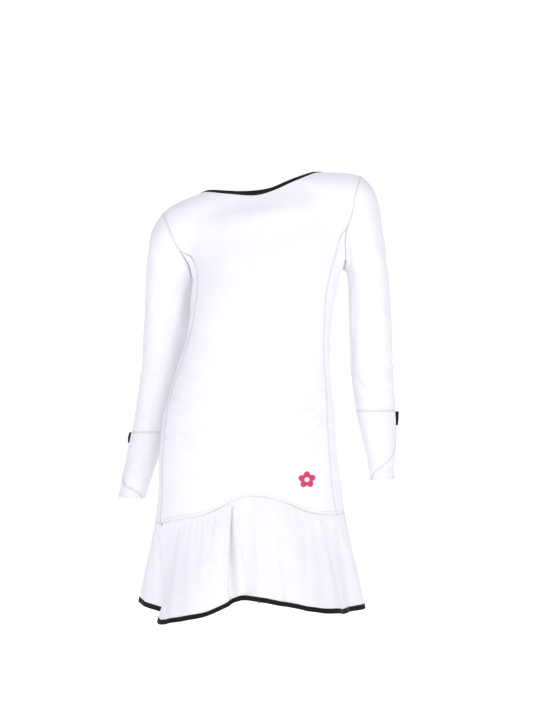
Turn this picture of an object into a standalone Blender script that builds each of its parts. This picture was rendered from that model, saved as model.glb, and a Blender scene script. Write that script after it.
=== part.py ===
"""A long-sleeve dress with a dropped, gathered flounce, filled out as it is worn.

Every piece of cloth is a closed wall laid on one smooth hollow form. The form is worked out
from tables of sizes: sections down the body, a bar across the shoulders and sections down
each arm. Seams are curves drawn on it, and each panel is a net stretched between its seams.
X runs across, to the wearer's left. The front faces -Y, and +Z is up.
"""
import math

import bpy
import numpy as np

MM = 0.001

CLOTH = 1.6 * MM
TRIM = 2.4 * MM
GAP = 0.3 * MM
NECK_TRIM_HEIGHT = 8.0 * MM
HEM_TRIM_HEIGHT = 10.0 * MM

NECK_HALF = 121 * MM
SHOULDER_HALF = 200 * MM
SHOULDER_DROP = 20 * MM
SHOULDER_SLOPE = math.radians(16)

SECTION_POWER = 2.25
WIDEST_SHARE = 0.93
TORSO_TOP = -95 * MM
TORSO_DOME = 58 * MM
BLEND = 11 * MM
ARM_BLEND = 5 * MM
PARTING = 6.0
NORMAL_STEP = 4 * MM
FLAT_SLOPE = 0.02
SEAM_SIDEWAYS = 0.05
CREASE_STRIDE = 0.7
LEAN_ROUNDS = 7

BAR_END = 160 * MM
BAR_ROUND = 42 * MM
BAR_DEPTH = 52 * MM
BAR_HEIGHT = 50 * MM
BAR_TOP = 1 * MM
BAR_SOFT = 40 * MM

SIDE_BULGE = 12 * MM
SKIRT_CENTRE_X = -21 * MM
ABOVE_NECK = 60 * MM

SHOULDER_STEPS = 4
FRONT_NECK_STEPS = 14
BACK_NECK_STEPS = 10
ARMHOLE_STEPS = 6
UNDERARM_STEPS = 4
PRINCESS_STEPS = 20
SLEEVE_STEPS = 16
FOREARM_STEPS = 13
FLOUNCE_STEPS = 6
NET_ROUNDS = 12
SLEEVE_ROUNDS = 10
SHARP_ANGLE = math.radians(50)
RING_STEPS = 2 * (ARMHOLE_STEPS + UNDERARM_STEPS)

PETAL_BACK = 2
PETAL_FRONT_STEPS = 14
FOREARM_BEND = 1.4


def table(columns, *rows):
    """A table of sizes given in millimetres, as one array in metres for each named column."""
    return {name: np.array([row[k] for row in rows]) * MM for k, name in enumerate(columns.split())}


TORSO = table(
    "height centre_x centre_y half_width front back",
    (40, -4, 2, 150, 78, 80),
    (-60, 5, 2, 150, 82, 84),
    (-115, 11, 1, 149, 93, 92),
    (-168, 16, 0, 148, 105, 94),
    (-210, 9, 0, 144, 111, 92),
    (-250, 3, 0, 141, 109, 88),
    (-290, -3, 0, 141, 101, 85),
    (-330, -10, 0, 146, 95, 84),
    (-370, -17, 0, 152, 92, 88),
    (-420, -22, 1, 161, 94, 97),
    (-480, -25, 3, 170, 98, 110),
    (-540, -25, 4, 174, 101, 119),
    (-600, -22, 4, 179, 104, 121),
    (-660, -21, 4, 185, 106, 119),
    (-720, -21, 4, 190, 108, 118),
)

ROLL_HEIGHTS = np.array([60, 0, -60, -115, -168, -210, -280, -360, -430, -530, -630, -720]) * MM
ROLL_DEGREES = np.array([9.4, 9.4, 9.0, 8.0, 6.8, 6.0, 5.0, 4.1, 3.5, 2.9, 2.4, 2.4])

ARM_COLUMNS = "height centre_x centre_y across deep"
RIGHT_ARM = table(
    ARM_COLUMNS,
    (-108, -169, 10, 52, 52),
    (-155, -180, 19, 49, 50),
    (-184, -182, 26, 48, 49),
    (-229, -188, 42, 47, 48),
    (-268, -190, 51, 47, 47),
    (-313, -196, 60, 44, 45),
    (-405, -212, 74, 39, 41),
    (-485, -229, 76, 36, 37),
    (-552, -245, 61, 32, 33),
    (-597, -255, 46, 28, 30),
    (-640, -263, 34, 25, 28),
)
LEFT_ARM = table(
    ARM_COLUMNS,
    (-43, 181, 5, 53, 54),
    (-99, 193, 8, 49, 52),
    (-153, 205, 12, 44, 49),
    (-221, 211, 20, 43, 47),
    (-314, 213, 30, 43, 45),
    (-404, 218, 35, 41, 42),
    (-443, 222, 32, 39, 40),
    (-514, 231, 15, 31, 34),
    (-578, 236, -5, 23, 29),
    (-610, 239, -14, 21, 28),
)
CROSS_SEAM_HEIGHT = {"right": -490 * MM, "left": -445 * MM}
CUFF_HEIGHT = {"right": -620 * MM, "left": -578 * MM}
UNDERARM_HEIGHT = {"right": -205 * MM, "left": -183 * MM}
PETAL_FOLD = {"right": 0.50, "left": 0.30}
PETAL_SHARE = np.array([0.0, 0.43, 0.62, 0.75, 0.90, 1.0])
PETAL_TURN = np.array([0, 27, 62, 104, 142, 150])

PRINCESS_TOP = {-1: ((-121, 153), (-135, 142), (-155, 135)), 1: ((-119, 140), (-131, 133), (-152, 129))}
PRINCESS_LOWER = (
    (-190, 128), (-225, 125), (-283, 129), (-344, 138), (-400, 150), (-460, 156), (-545, 162),
    (-620, 166),
)
FRONT_WAIST = table(
    "aside height",
    (-169, -655), (-135, -647), (-95, -640), (-60, -630), (-25, -612), (5, -604), (40, -607),
    (80, -619), (110, -635), (140, -645), (172, -650),
)
BACK_WAIST = table(
    "aside height",
    (172, -650), (120, -640), (60, -624), (0, -612), (-60, -622), (-120, -640), (-169, -655),
)
FRONT_NECK = table("aside height", (121, 0), (98, -6), (75, -13), (44, -22), (18, -29), (0, -31))
BACK_NECK = table("aside height", (121, 0), (98, -4), (70, -9), (35, -15), (0, -18))
ARMHOLE = table(
    "aside depth height",
    (200, 0, -20), (191, -30, -38), (181, -45, -65), (173, -54, -95), (168, -55, -115),
    (157, -40, -146), (149, -14, -166), (148, 4, -170), (151, 24, -164), (160, 45, -142),
    (170, 56, -112), (177, 54, -90), (187, 42, -58), (194, 24, -34), (200, 0, -20),
)
ARMHOLE_CREASE = (0, 0, 0, 0, 0.4, 1, 1, 1, 1, 1, 0.9, 0.4, 0, 0, 0)
ARMHOLE_PRINCESS_ROWS = (4, 10)
ARMHOLE_LOWEST_ROW = 7

HEM = table(
    "turn radius height",
    (-100, 206, -812), (-82, 208, -818), (-66, 178, -826), (-53, 203, -836), (-34, 207, -825),
    (-20, 190, -814), (-9, 154, -798), (-1, 141, -788), (7, 160, -787), (14, 177, -788),
    (22, 176, -793), (31, 205, -798), (44, 221, -808), (60, 219, -815), (74, 208, -819),
    (88, 225, -820), (104, 199, -822), (119, 216, -826), (137, 176, -822), (153, 196, -825),
    (168, 162, -820), (182, 184, -824), (197, 158, -819), (212, 190, -824), (227, 180, -820),
    (240, 208, -824), (251, 188, -817),
)
HEM_TURN = HEM["turn"] / MM

FOLD_COLUMNS = "x0 y0 z0 x1 y1 z1 width depth"
FOLDS = table(
    FOLD_COLUMNS,
    (-150, 20, -190, -180, 50, -330, 14, -5),
    (-205, -20, -200, -175, 10, -300, 16, -4),
    (-235, 60, -330, -190, 100, -420, 14, -4),
    (-250, 60, -430, -200, 70, -480, 12, -4),
    (175, -30, -165, 190, -15, -290, 12, -5),
    (185, -35, -170, 225, -20, -330, 12, -4),
    (180, 10, -330, 240, -5, -400, 12, -4),
    (185, 20, -380, 250, 0, -430, 12, -4),
    (190, 50, -180, 225, 70, -310, 14, -4),
    (-160, 60, -200, -200, 90, -300, 14, -4),
    (115, -60, -400, 10, -90, -480, 13, -3),
    (110, -60, -470, 30, -90, -560, 13, -3),
    (-165, -60, -440, -110, -90, -500, 11, -3),
    (110, 70, -330, 0, 90, -360, 13, -4),
    (-120, 70, -345, -20, 90, -390, 13, -4),
)

FOLD_END = 0.35

RIM_ORDER = np.array([0.23, 0.31, 0.92])

TAB_OUT = 8.0 * MM
TAB_TALL = {"right": 21 * MM, "left": 27 * MM}
TAB_LAYER = 0.9 * MM
TAB_SPREAD = 2.6 * MM
TAB_BELOW_SEAM = 2.0 * MM
TAB_STANDOFF = 3 * GAP
TAB_FOLD_STEPS = 8

WHITE = (0.92, 0.92, 0.94, 1.0)
BLACK = (0.035, 0.02, 0.03, 1.0)


def curve_through(xs, ys):
    """The natural cubic curve through rising xs, carried on straight past both ends."""
    xs, ys = np.asarray(xs, float), np.asarray(ys, float)
    if xs[0] > xs[-1]:
        xs, ys = xs[::-1], ys[::-1]
    gap = np.diff(xs)
    slope = np.diff(ys) / gap
    count = len(xs)
    system, right_side = np.eye(count), np.zeros(count)
    for i in range(1, count - 1):
        system[i, i - 1:i + 2] = gap[i - 1], 2 * (gap[i - 1] + gap[i]), gap[i]
        right_side[i] = 6 * (slope[i] - slope[i - 1])
    bend = np.linalg.solve(system, right_side)
    first = slope[0] - gap[0] * bend[1] / 6
    last = slope[-1] + gap[-1] * bend[-2] / 6

    def value(x):
        x = np.asarray(x, float)
        held = np.clip(x, xs[0], xs[-1])
        i = np.clip(np.searchsorted(xs, held, side="right") - 1, 0, count - 2)
        b = (held - xs[i]) / gap[i]
        a = 1 - b
        y = a * ys[i] + b * ys[i + 1]
        y = y + ((a ** 3 - a) * bend[i] + (b ** 3 - b) * bend[i + 1]) * gap[i] ** 2 / 6
        return y + first * np.minimum(x - xs[0], 0) + last * np.maximum(x - xs[-1], 0)

    return value


def unit(vectors):
    """The vectors at length one."""
    return vectors / np.maximum(np.linalg.norm(vectors, axis=-1, keepdims=True), 1e-12)


def soft_union(fields, radius):
    """The joined form of several fields, rounded where they meet."""
    stack = np.stack(fields)
    low = stack.min(axis=0)
    return low - radius * np.log(np.exp((low - stack) / radius).sum(axis=0))


CENTRE_X = curve_through(TORSO["height"], TORSO["centre_x"])
CENTRE_Y = curve_through(TORSO["height"], TORSO["centre_y"])
HALF_WIDTH = curve_through(TORSO["height"], TORSO["half_width"])
FRONT_DEPTH = curve_through(TORSO["height"], TORSO["front"])
BACK_DEPTH = curve_through(TORSO["height"], TORSO["back"])
ROLL = curve_through(ROLL_HEIGHTS, np.radians(ROLL_DEGREES))


def upright(points):
    """Where points lie in the leaning torso's own frame: aside, depth and height."""
    x, y, z = points.T
    height = z
    for _ in range(LEAN_ROUNDS):
        height = z - (x - CENTRE_X(height)) * np.tan(ROLL(height))
    aside = (x - CENTRE_X(height)) / np.cos(ROLL(height))
    return aside, y - CENTRE_Y(height), height


def leaned(aside, depth, height):
    """Points of the torso's own frame, moved to where the pose puts them."""
    aside, depth, height = np.broadcast_arrays(
        np.asarray(aside, float), np.asarray(depth, float), np.asarray(height, float))
    roll = ROLL(height)
    x = CENTRE_X(height) + aside * np.cos(roll)
    z = height + aside * np.sin(roll)
    return np.stack([x, CENTRE_Y(height) + depth, z], axis=-1)


def torso_field(points):
    """About the distance outside the torso's sections, which a dome closes at the top."""
    aside, depth, height = upright(points)
    level = np.minimum(height, TORSO_TOP)
    deep = np.where(depth < 0, FRONT_DEPTH(level), BACK_DEPTH(level))
    total = np.abs(aside / HALF_WIDTH(level)) ** SECTION_POWER
    total = total + np.abs(depth / deep) ** SECTION_POWER
    total = total + ((height - level) / TORSO_DOME) ** SECTION_POWER
    mean = (FRONT_DEPTH(level) + BACK_DEPTH(level)) / 2
    return (total ** (1 / SECTION_POWER) - 1) * mean


def bar_top(aside):
    """The height of the shoulder line above a distance from the middle."""
    past = np.abs(aside) - NECK_HALF + BAR_SOFT / 2
    return BAR_TOP - (past + np.sqrt(past ** 2 + BAR_SOFT ** 2) - BAR_SOFT) / 2 * math.tan(SHOULDER_SLOPE)


def bar_field(points):
    """About the distance outside the rounded bar that the shoulders make."""
    aside, depth, height = upright(points)
    along = np.clip(aside, -BAR_END, BAR_END)
    middle = bar_top(along) - BAR_HEIGHT
    total = ((aside - along) / BAR_ROUND) ** 2 + (depth / BAR_DEPTH) ** 2
    total = total + ((height - middle) / BAR_HEIGHT) ** 2
    return (np.sqrt(total) - 1) * BAR_HEIGHT


class Arm:
    """One arm of the form: sections down a line, closed by a round end at the shoulder."""

    def __init__(self, rows):
        self.top = rows["height"][0]
        self.centre_x = curve_through(rows["height"], rows["centre_x"])
        self.centre_y = curve_through(rows["height"], rows["centre_y"])
        self.across = curve_through(rows["height"], rows["across"])
        self.deep = curve_through(rows["height"], rows["deep"])

    def field(self, points):
        """About the distance outside the arm."""
        x, y, z = points.T
        level = np.minimum(z, self.top)
        across = self.across(level)
        total = ((x - self.centre_x(level)) / across) ** 2
        total = total + ((y - self.centre_y(level)) / self.deep(level)) ** 2
        total = total + ((z - level) / across) ** 2
        return (np.sqrt(total) - 1) * across

    def ring_point(self, height, turn, out):
        """The point at a height, turned from the outer side through the front, in radians."""
        x = self.centre_x(height) + out * self.across(height) * np.cos(turn)
        y = self.centre_y(height) - self.deep(height) * np.sin(turn)
        return np.stack(np.broadcast_arrays(x, y, height), axis=-1)


ARMS = {"right": Arm(RIGHT_ARM), "left": Arm(LEFT_ARM)}
OUT = {"right": -1.0, "left": 1.0}


def parted(field, points, side):
    """A field that fades out below the underarm, so the sleeve and the side stay apart."""
    below = np.maximum(UNDERARM_HEIGHT[side] - points[:, 2], 0)
    return field + below * PARTING


def trunk_field(points):
    """The torso and the shoulders without the arms."""
    return soft_union([torso_field(points), bar_field(points)], BLEND)


def body_field(points):
    """The form that the body's panels lie on."""
    arms = [parted(ARMS[side].field(points), points, side) for side in ARMS]
    return soft_union([trunk_field(points)] + arms, ARM_BLEND)


def sleeve_field(side):
    """The form that one sleeve lies on."""
    def field(points):
        trunk = parted(trunk_field(points), points, side)
        return soft_union([trunk, ARMS[side].field(points)], ARM_BLEND)
    return field


def slope_of(field, points, step=0.4 * MM):
    """The field's slope along X, Y and Z."""
    sides = []
    for axis in np.eye(3):
        sides.append((field(points + axis * step) - field(points - axis * step)) / (2 * step))
    return np.stack(sides, axis=-1)


def pull(field, points, rounds=14, sideways=1.0, longest=25 * MM):
    """Points moved on to the form along its slope, or mostly along Y if sideways is small."""
    share = np.array([sideways, 1.0, sideways])
    shape = points.shape
    points = points.reshape(-1, 3).copy()
    for _ in range(rounds):
        slope = slope_of(field, points)
        size = np.maximum((slope ** 2 * share).sum(axis=1), FLAT_SLOPE)
        move = slope * share * (field(points) / size)[:, None]
        length = np.linalg.norm(move, axis=1, keepdims=True)
        points -= move * np.minimum(1, longest / np.maximum(length, 1e-9))
    return points.reshape(shape)


def normals_on(field, points):
    """The form's outward directions at points on it, evened over a few millimetres."""
    return unit(slope_of(field, points.reshape(-1, 3), NORMAL_STEP)).reshape(points.shape)


def fold_depth(points):
    """How far the cloth stands off the form at each point: negative in a fold."""
    flat = points.reshape(-1, 3)
    total = np.zeros(len(flat))
    for k in range(len(FOLDS["width"])):
        start = np.array([FOLDS[name][k] for name in ("x0", "y0", "z0")])
        end = np.array([FOLDS[name][k] for name in ("x1", "y1", "z1")])
        run = end - start
        share = np.clip((flat - start) @ run / (run @ run), 0, 1)
        away = np.linalg.norm(flat - start - share[:, None] * run, axis=1)
        taper = FOLD_END + (1 - FOLD_END) * np.sin(np.pi * share)
        total += FOLDS["depth"][k] * taper * np.exp(-(away / FOLDS["width"][k]) ** 2)
    return total.reshape(points.shape[:-1])


def spaced(points, count):
    """A smooth line through points, as count equal steps."""
    points = np.asarray(points, float)
    run = np.concatenate([[0], np.cumsum(np.linalg.norm(np.diff(points, axis=0), axis=1))])
    lines = [curve_through(run, points[:, k]) for k in range(3)]
    fine = np.linspace(0, run[-1], 400)
    dense = np.stack([line(fine) for line in lines], axis=-1)
    length = np.concatenate([[0], np.cumsum(np.linalg.norm(np.diff(dense, axis=0), axis=1))])
    marks = np.interp(np.linspace(0, length[-1], count + 1), length, fine)
    return np.stack([line(marks) for line in lines], axis=-1)


def seam(points, count, field=body_field):
    """A seam drawn on the form through points, as count equal steps."""
    named = pull(field, np.asarray(points, float), sideways=SEAM_SIDEWAYS)
    return pull(field, spaced(named, count))


def on_torso(aside, height, face):
    """A point of the torso's sections: face is -1 on the front and 1 on the back."""
    deep = FRONT_DEPTH(height) if face < 0 else BACK_DEPTH(height)
    share = np.clip(np.abs(aside) / HALF_WIDTH(height), 0, WIDEST_SHARE)
    depth = face * deep * (1 - share ** SECTION_POWER) ** (1 / SECTION_POWER)
    return leaned(aside, depth, height)


def on_bar(aside, height, face):
    """A point of the shoulder bar: face is -1 on the front and 1 on the back."""
    rise = np.clip((height - bar_top(aside) + BAR_HEIGHT) / BAR_HEIGHT, -1, 1)
    return leaned(aside, face * BAR_DEPTH * np.sqrt(1 - rise ** 2), height)


def in_crease(points, share, side, rounds=12):
    """Points on the body slid towards the crease where the arm meets it, by their share."""
    def difference(at):
        return trunk_field(at) - ARMS[side].field(at)

    share = np.asarray(share, float)[:, None]
    slid = points
    for _ in range(rounds):
        normal = normals_on(body_field, slid)
        slope = slope_of(difference, slid)
        slope = slope - normal * (slope * normal).sum(axis=1, keepdims=True)
        size = np.maximum((slope ** 2).sum(axis=1, keepdims=True), FLAT_SLOPE)
        step = CREASE_STRIDE * slope * difference(slid)[:, None] / size
        slid = pull(body_field, slid - step, rounds=4)
    return pull(body_field, points * (1 - share) + slid * share)


def armhole_parts(side):
    """The armhole of one side as four seams, from the shoulder round by the front."""
    aside = OUT[side] * ARMHOLE["aside"]
    points = leaned(aside, ARMHOLE["depth"], ARMHOLE["height"])
    front, back = ARMHOLE_PRINCESS_ROWS
    drawn = pull(body_field, points, sideways=SEAM_SIDEWAYS)
    whole = in_crease(drawn, ARMHOLE_CREASE, side)
    run = np.concatenate([[0], np.cumsum(np.linalg.norm(np.diff(whole, axis=0), axis=1))])
    lines = [curve_through(run, whole[:, k]) for k in range(3)]
    low = run[ARMHOLE_LOWEST_ROW]
    marks = [
        np.linspace(0, run[front], ARMHOLE_STEPS + 1),
        np.linspace(run[front], low, UNDERARM_STEPS + 1),
        np.linspace(low, run[back], UNDERARM_STEPS + 1),
        np.linspace(run[back], run[-1], ARMHOLE_STEPS + 1),
    ]
    return [pull(body_field, np.stack([line(m) for line in lines], axis=-1)) for m in marks]


def princess(side, face, top):
    """A long seam from the armhole down to the dropped waist, top first."""
    named = table("height aside", *PRINCESS_TOP[face], *PRINCESS_LOWER)
    rows = [on_torso(OUT[side] * u, w, face) for u, w in zip(named["aside"], named["height"])]
    waist = FRONT_WAIST if face < 0 else BACK_WAIST
    end = np.argmax(OUT[side] * waist["aside"])
    rows.append(on_torso(waist["aside"][end], waist["height"][end], face))
    return seam([top] + rows, PRINCESS_STEPS)


def net_between(low, high, left, right):
    """The blend of four edges that meet at their corners, as rows from low to high."""
    across = np.linspace(0, 1, len(low))[None, :, None]
    up = np.linspace(0, 1, len(left))[:, None, None]
    rows = (1 - up) * low[None] + up * high[None]
    columns = (1 - across) * left[:, None] + across * right[:, None]
    corners = (1 - up) * ((1 - across) * low[0] + across * low[-1])
    corners = corners + up * ((1 - across) * high[0] + across * high[-1])
    return rows + columns - corners


def smoothed_net(net, field):
    """The net pulled on to the form, its inner points evened out between the edges."""
    net[1:-1, 1:-1] = pull(field, net[1:-1, 1:-1])
    for _ in range(NET_ROUNDS):
        middle = (net[:-2, 1:-1] + net[2:, 1:-1] + net[1:-1, :-2] + net[1:-1, 2:]) / 4
        net[1:-1, 1:-1] = (net[1:-1, 1:-1] + middle) / 2
        net[1:-1, 1:-1] = pull(field, net[1:-1, 1:-1], rounds=3)
    return net


def edge_inset(net, normals, ring):
    """The net with each open edge moved in by half a seam gap, along the surface."""
    moved = net.copy()
    down = np.gradient(net, axis=0)
    along = np.gradient(net, axis=1)
    if ring:
        along = (np.roll(net, -1, axis=1) - np.roll(net, 1, axis=1)) / 2
    for row, sign in ((0, 1), (-1, -1)):
        inward = np.cross(normals[row], along[row])
        inward *= np.sign((inward * down[row] * sign).sum(axis=1, keepdims=True))
        moved[row] += unit(inward) * GAP / 2
    if not ring:
        for column, sign in ((0, 1), (-1, -1)):
            inward = np.cross(normals[:, column], down[:, column])
            inward *= np.sign((inward * along[:, column] * sign).sum(axis=1, keepdims=True))
            moved[:, column] += unit(inward) * GAP / 2
    return moved


def material(name, colour, roughness):
    """A plain cloth colour."""
    made = bpy.data.materials.new(name)
    made.use_nodes = True
    shader = made.node_tree.nodes["Principled BSDF"]
    shader.inputs["Base Color"].default_value = colour
    shader.inputs["Roughness"].default_value = roughness
    shader.inputs["Metallic"].default_value = 0.0
    return made


def rim_faces(points, half, a, b):
    """The two faces of a wall's rim between points a and b of its outer face.

    Walls that meet at a seam bend their rims along the same diagonal, so that they stay
    parted where the rim twists.
    """
    if points[a] @ RIM_ORDER > points[b] @ RIM_ORDER:
        return [(a, b, half + b), (a, half + b, half + a)]
    return [(a, b, half + a), (b, half + b, half + a)]


class Dress:
    """The collection that the pieces go in, with their materials."""

    def __init__(self):
        self.collection = bpy.data.collections.new("long_sleeve_dress")
        bpy.context.scene.collection.children.link(self.collection)
        self.white = material("white_jersey", WHITE, 0.85)
        self.black = material("black_trim", BLACK, 0.6)

    def add(self, name, points, faces, finish):
        """One closed piece, with its faces turned outwards."""
        mesh = bpy.data.meshes.new(name)
        fan = [(f[0], f[k], f[k + 1]) for f in faces for k in range(1, len(f) - 1)]
        a, b, c = points[np.array(fan)].transpose(1, 0, 2)
        if (a * np.cross(b, c)).sum() < 0:
            faces = [face[::-1] for face in faces]
        mesh.from_pydata([tuple(p) for p in points], [], faces)
        mesh.materials.append(finish)
        mesh.shade_smooth()
        mesh.set_sharp_from_angle(angle=SHARP_ANGLE)
        made = bpy.data.objects.new(name, mesh)
        self.collection.objects.link(made)
        return made

    def wall(self, name, net, normals, thick, finish, ring=False, lift=0.0, inset=True):
        """A wall of cloth: the net as its outer face, and an inner face behind it."""
        outer = edge_inset(net, normals, ring) if inset else net
        outer = outer + normals * lift
        inner = outer - normals * thick
        rows, columns = net.shape[:2]
        points = np.concatenate([outer.reshape(-1, 3), inner.reshape(-1, 3)])
        half = rows * columns
        faces = []
        steps = columns if ring else columns - 1
        for i in range(rows - 1):
            for j in range(steps):
                k = (j + 1) % columns
                a, b = i * columns + j, i * columns + k
                c, d = a + columns, b + columns
                faces.append((a, b, d, c))
                faces.append((half + a, half + c, half + d, half + b))
        last = (rows - 1) * columns
        for j in range(steps):
            k = (j + 1) % columns
            faces += rim_faces(points, half, k, j)
            faces += rim_faces(points, half, last + j, last + k)
        if not ring:
            for i in range(rows - 1):
                a, c = i * columns, (i + 1) * columns
                faces += rim_faces(points, half, a, c)
                faces += rim_faces(points, half, c + columns - 1, a + columns - 1)
        return self.add(name, points, faces, finish)

    def panel(self, name, net, field, ring=False):
        """A white panel on the form, with its folds pressed in."""
        normals = normals_on(field, net)
        creased = net + normals * fold_depth(net)[..., None]
        return self.wall(name, creased, normals, CLOTH, self.white, ring)


def closed(line):
    """The line with its first point again at the end."""
    return np.concatenate([line, line[:1]])


def halved(line):
    """The line with a point put half way along each of its steps."""
    made = np.empty((2 * len(line) - 1, 3))
    made[::2] = line
    made[1::2] = (line[:-1] + line[1:]) / 2
    return made


def build_body(dress):
    """The front, back and side panels, and the seams that other pieces hang on."""
    armholes = {side: armhole_parts(side) for side in OUT}
    shoulder_point = {side: armholes[side][0][0] for side in OUT}
    neck_point = {}
    shoulders, fronts, backs = {}, {}, {}
    for side, out in OUT.items():
        neck_point[side] = pull(body_field, leaned(out * NECK_HALF, 0, 0)[None])[0]
        middle = leaned(out * (NECK_HALF + SHOULDER_HALF) / 2, 0, -SHOULDER_DROP / 2)
        shoulders[side] = seam([shoulder_point[side], middle, neck_point[side]], SHOULDER_STEPS)
        fronts[side] = princess(side, -1, armholes[side][1][0])
        backs[side] = princess(side, 1, armholes[side][2][-1])
    front_neck = neckline(neck_point, FRONT_NECK, -1, FRONT_NECK_STEPS)
    back_neck = neckline(neck_point, BACK_NECK, 1, BACK_NECK_STEPS)
    waist_front = [on_torso(u, w, -1) for u, w in zip(FRONT_WAIST["aside"], FRONT_WAIST["height"])]
    waist_back = [on_torso(u, w, 1) for u, w in zip(BACK_WAIST["aside"], BACK_WAIST["height"])]
    columns = 2 * SHOULDER_STEPS
    front_waist = seam(waist_front, columns + FRONT_NECK_STEPS)
    back_waist = seam(waist_back, columns + BACK_NECK_STEPS)

    top = np.concatenate([shoulders["right"], front_neck[1:], shoulders["left"][::-1][1:]])
    left_edge = np.concatenate([fronts["right"][::-1], armholes["right"][0][::-1][1:]])
    right_edge = np.concatenate([fronts["left"][::-1], armholes["left"][0][::-1][1:]])
    front_net = smoothed_net(net_between(front_waist, top, left_edge, right_edge), body_field)
    dress.panel("front_panel", front_net, body_field)

    top = np.concatenate([shoulders["left"], back_neck[1:], shoulders["right"][::-1][1:]])
    left_edge = np.concatenate([backs["left"][::-1], armholes["left"][3][1:]])
    right_edge = np.concatenate([backs["right"][::-1], armholes["right"][3][1:]])
    back_net = smoothed_net(net_between(back_waist, top, left_edge, right_edge), body_field)
    dress.panel("back_panel", back_net, body_field)

    side_waists = {}
    for side in OUT:
        under = np.concatenate([armholes[side][1], armholes[side][2][1:]])
        ends = fronts[side][-1], backs[side][-1]
        middle = (ends[0] + ends[1]) / 2 + np.array([OUT[side] * SIDE_BULGE, 0, 0])
        side_waists[side] = seam([ends[0], middle, ends[1]], 2 * UNDERARM_STEPS)
        net = net_between(side_waists[side], under, fronts[side][::-1], backs[side][::-1])
        net = smoothed_net(net, trunk_field)
        dress.panel("side_panel_" + side, net, body_field)
    waist = [front_waist, side_waists["left"][1:], back_waist[1:], side_waists["right"][::-1][1:-1]]
    return armholes, front_neck, back_neck, np.concatenate(waist)


def neckline(neck_point, rows, face, count):
    """The edge of the neck opening over the front or the back."""
    half = [on_bar(u, w, face) for u, w in zip(rows["aside"][1:-1], rows["height"][1:-1])]
    other = [on_bar(-u, w, face) for u, w in zip(rows["aside"][1:-1], rows["height"][1:-1])]
    middle = on_bar(0.0, rows["height"][-1], face)
    line = [neck_point["right"]] + other + [middle] + half[::-1] + [neck_point["left"]]
    if face > 0:
        line = line[::-1]
    return seam(line, count)


def build_sleeves(dress, armholes):
    """Both sleeves: an upper piece, and two forearm pieces that meet in a petal seam."""
    for side, arm in ARMS.items():
        field = sleeve_field(side)
        loop = np.concatenate([part[:-1] for part in armholes[side]])
        turns = np.linspace(0, 2 * math.pi, RING_STEPS, endpoint=False)
        heights = np.full(RING_STEPS, CROSS_SEAM_HEIGHT[side])
        cross = pull(field, arm.ring_point(heights, turns, OUT[side]))
        cross[:, 2] = CROSS_SEAM_HEIGHT[side]
        share = np.linspace(0, 1, SLEEVE_STEPS + 1)[:, None, None]
        net = loop[None] * (1 - share) + cross[None] * share
        under = np.abs(np.arange(RING_STEPS) - RING_STEPS / 2) < UNDERARM_STEPS
        weight = np.tile(under.astype(float), SLEEVE_STEPS - 1)

        def lying(points, union=field, arm=arm, weight=weight):
            return union(points) * (1 - weight) + arm.field(points) * weight

        net[1:-1] = pull(lying, net[1:-1])
        for _ in range(SLEEVE_ROUNDS):
            middle = (net[:-2] + net[2:]) / 2
            net[1:-1] = pull(lying, (net[1:-1] + middle) / 2, rounds=3)
        dress.panel("sleeve_" + side, net, field, ring=True)
        build_forearm(dress, side, arm, field, cross)


def build_forearm(dress, side, arm, field, cross):
    """The front petal and the back piece of one forearm, below the cross seam."""
    step = 2 * math.pi / RING_STEPS
    inner_turn = (PETAL_FRONT_STEPS - PETAL_BACK) * step
    share = np.linspace(0, 1, FOREARM_STEPS + 1)
    share = 1 - (1 - share) ** FOREARM_BEND
    top, bottom = CROSS_SEAM_HEIGHT[side], CUFF_HEIGHT[side]
    fold = PETAL_FOLD[side]
    past = np.clip((share - fold) / (1 - fold), 0, 1)
    petal = np.radians(curve_through(PETAL_SHARE, PETAL_TURN)(past))
    start = -PETAL_BACK * step
    petal = np.where(share < fold, start * (1 - share / fold), petal)
    back_steps = 2 * (RING_STEPS - PETAL_FRONT_STEPS)
    spans = {
        "forearm_front_" + side: (petal, np.full_like(petal, inner_turn), PETAL_FRONT_STEPS),
        "forearm_back_" + side: (np.full_like(petal, inner_turn), petal + 2 * math.pi, back_steps),
    }
    ring = closed(cross)
    ring_turns = np.linspace(0, 2 * math.pi, RING_STEPS + 1)
    for name, (first, last, steps) in spans.items():
        turns = first[:, None] + (last - first)[:, None] * np.linspace(0, 1, steps + 1)[None]
        heights = np.broadcast_to((top + (bottom - top) * share)[:, None], turns.shape)
        net = pull(field, arm.ring_point(heights, turns, OUT[side]))
        wrapped = np.mod(turns[0], 2 * math.pi)
        net[0] = np.stack([np.interp(wrapped, ring_turns, ring[:, k]) for k in range(3)], axis=-1)
        dress.panel(name, net, field)


def hem_points(turns):
    """The hem's points for turns about the skirt's middle, in radians from the front."""
    degrees = np.degrees(turns)
    turn = np.concatenate([HEM_TURN - 360, HEM_TURN, HEM_TURN + 360])
    radius = curve_through(turn, np.tile(HEM["radius"], 3))(degrees)
    height = curve_through(turn, np.tile(HEM["height"], 3))(degrees)
    x = SKIRT_CENTRE_X + radius * np.sin(turns)
    return np.stack([x, -radius * np.cos(turns), height], axis=-1)


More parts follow.
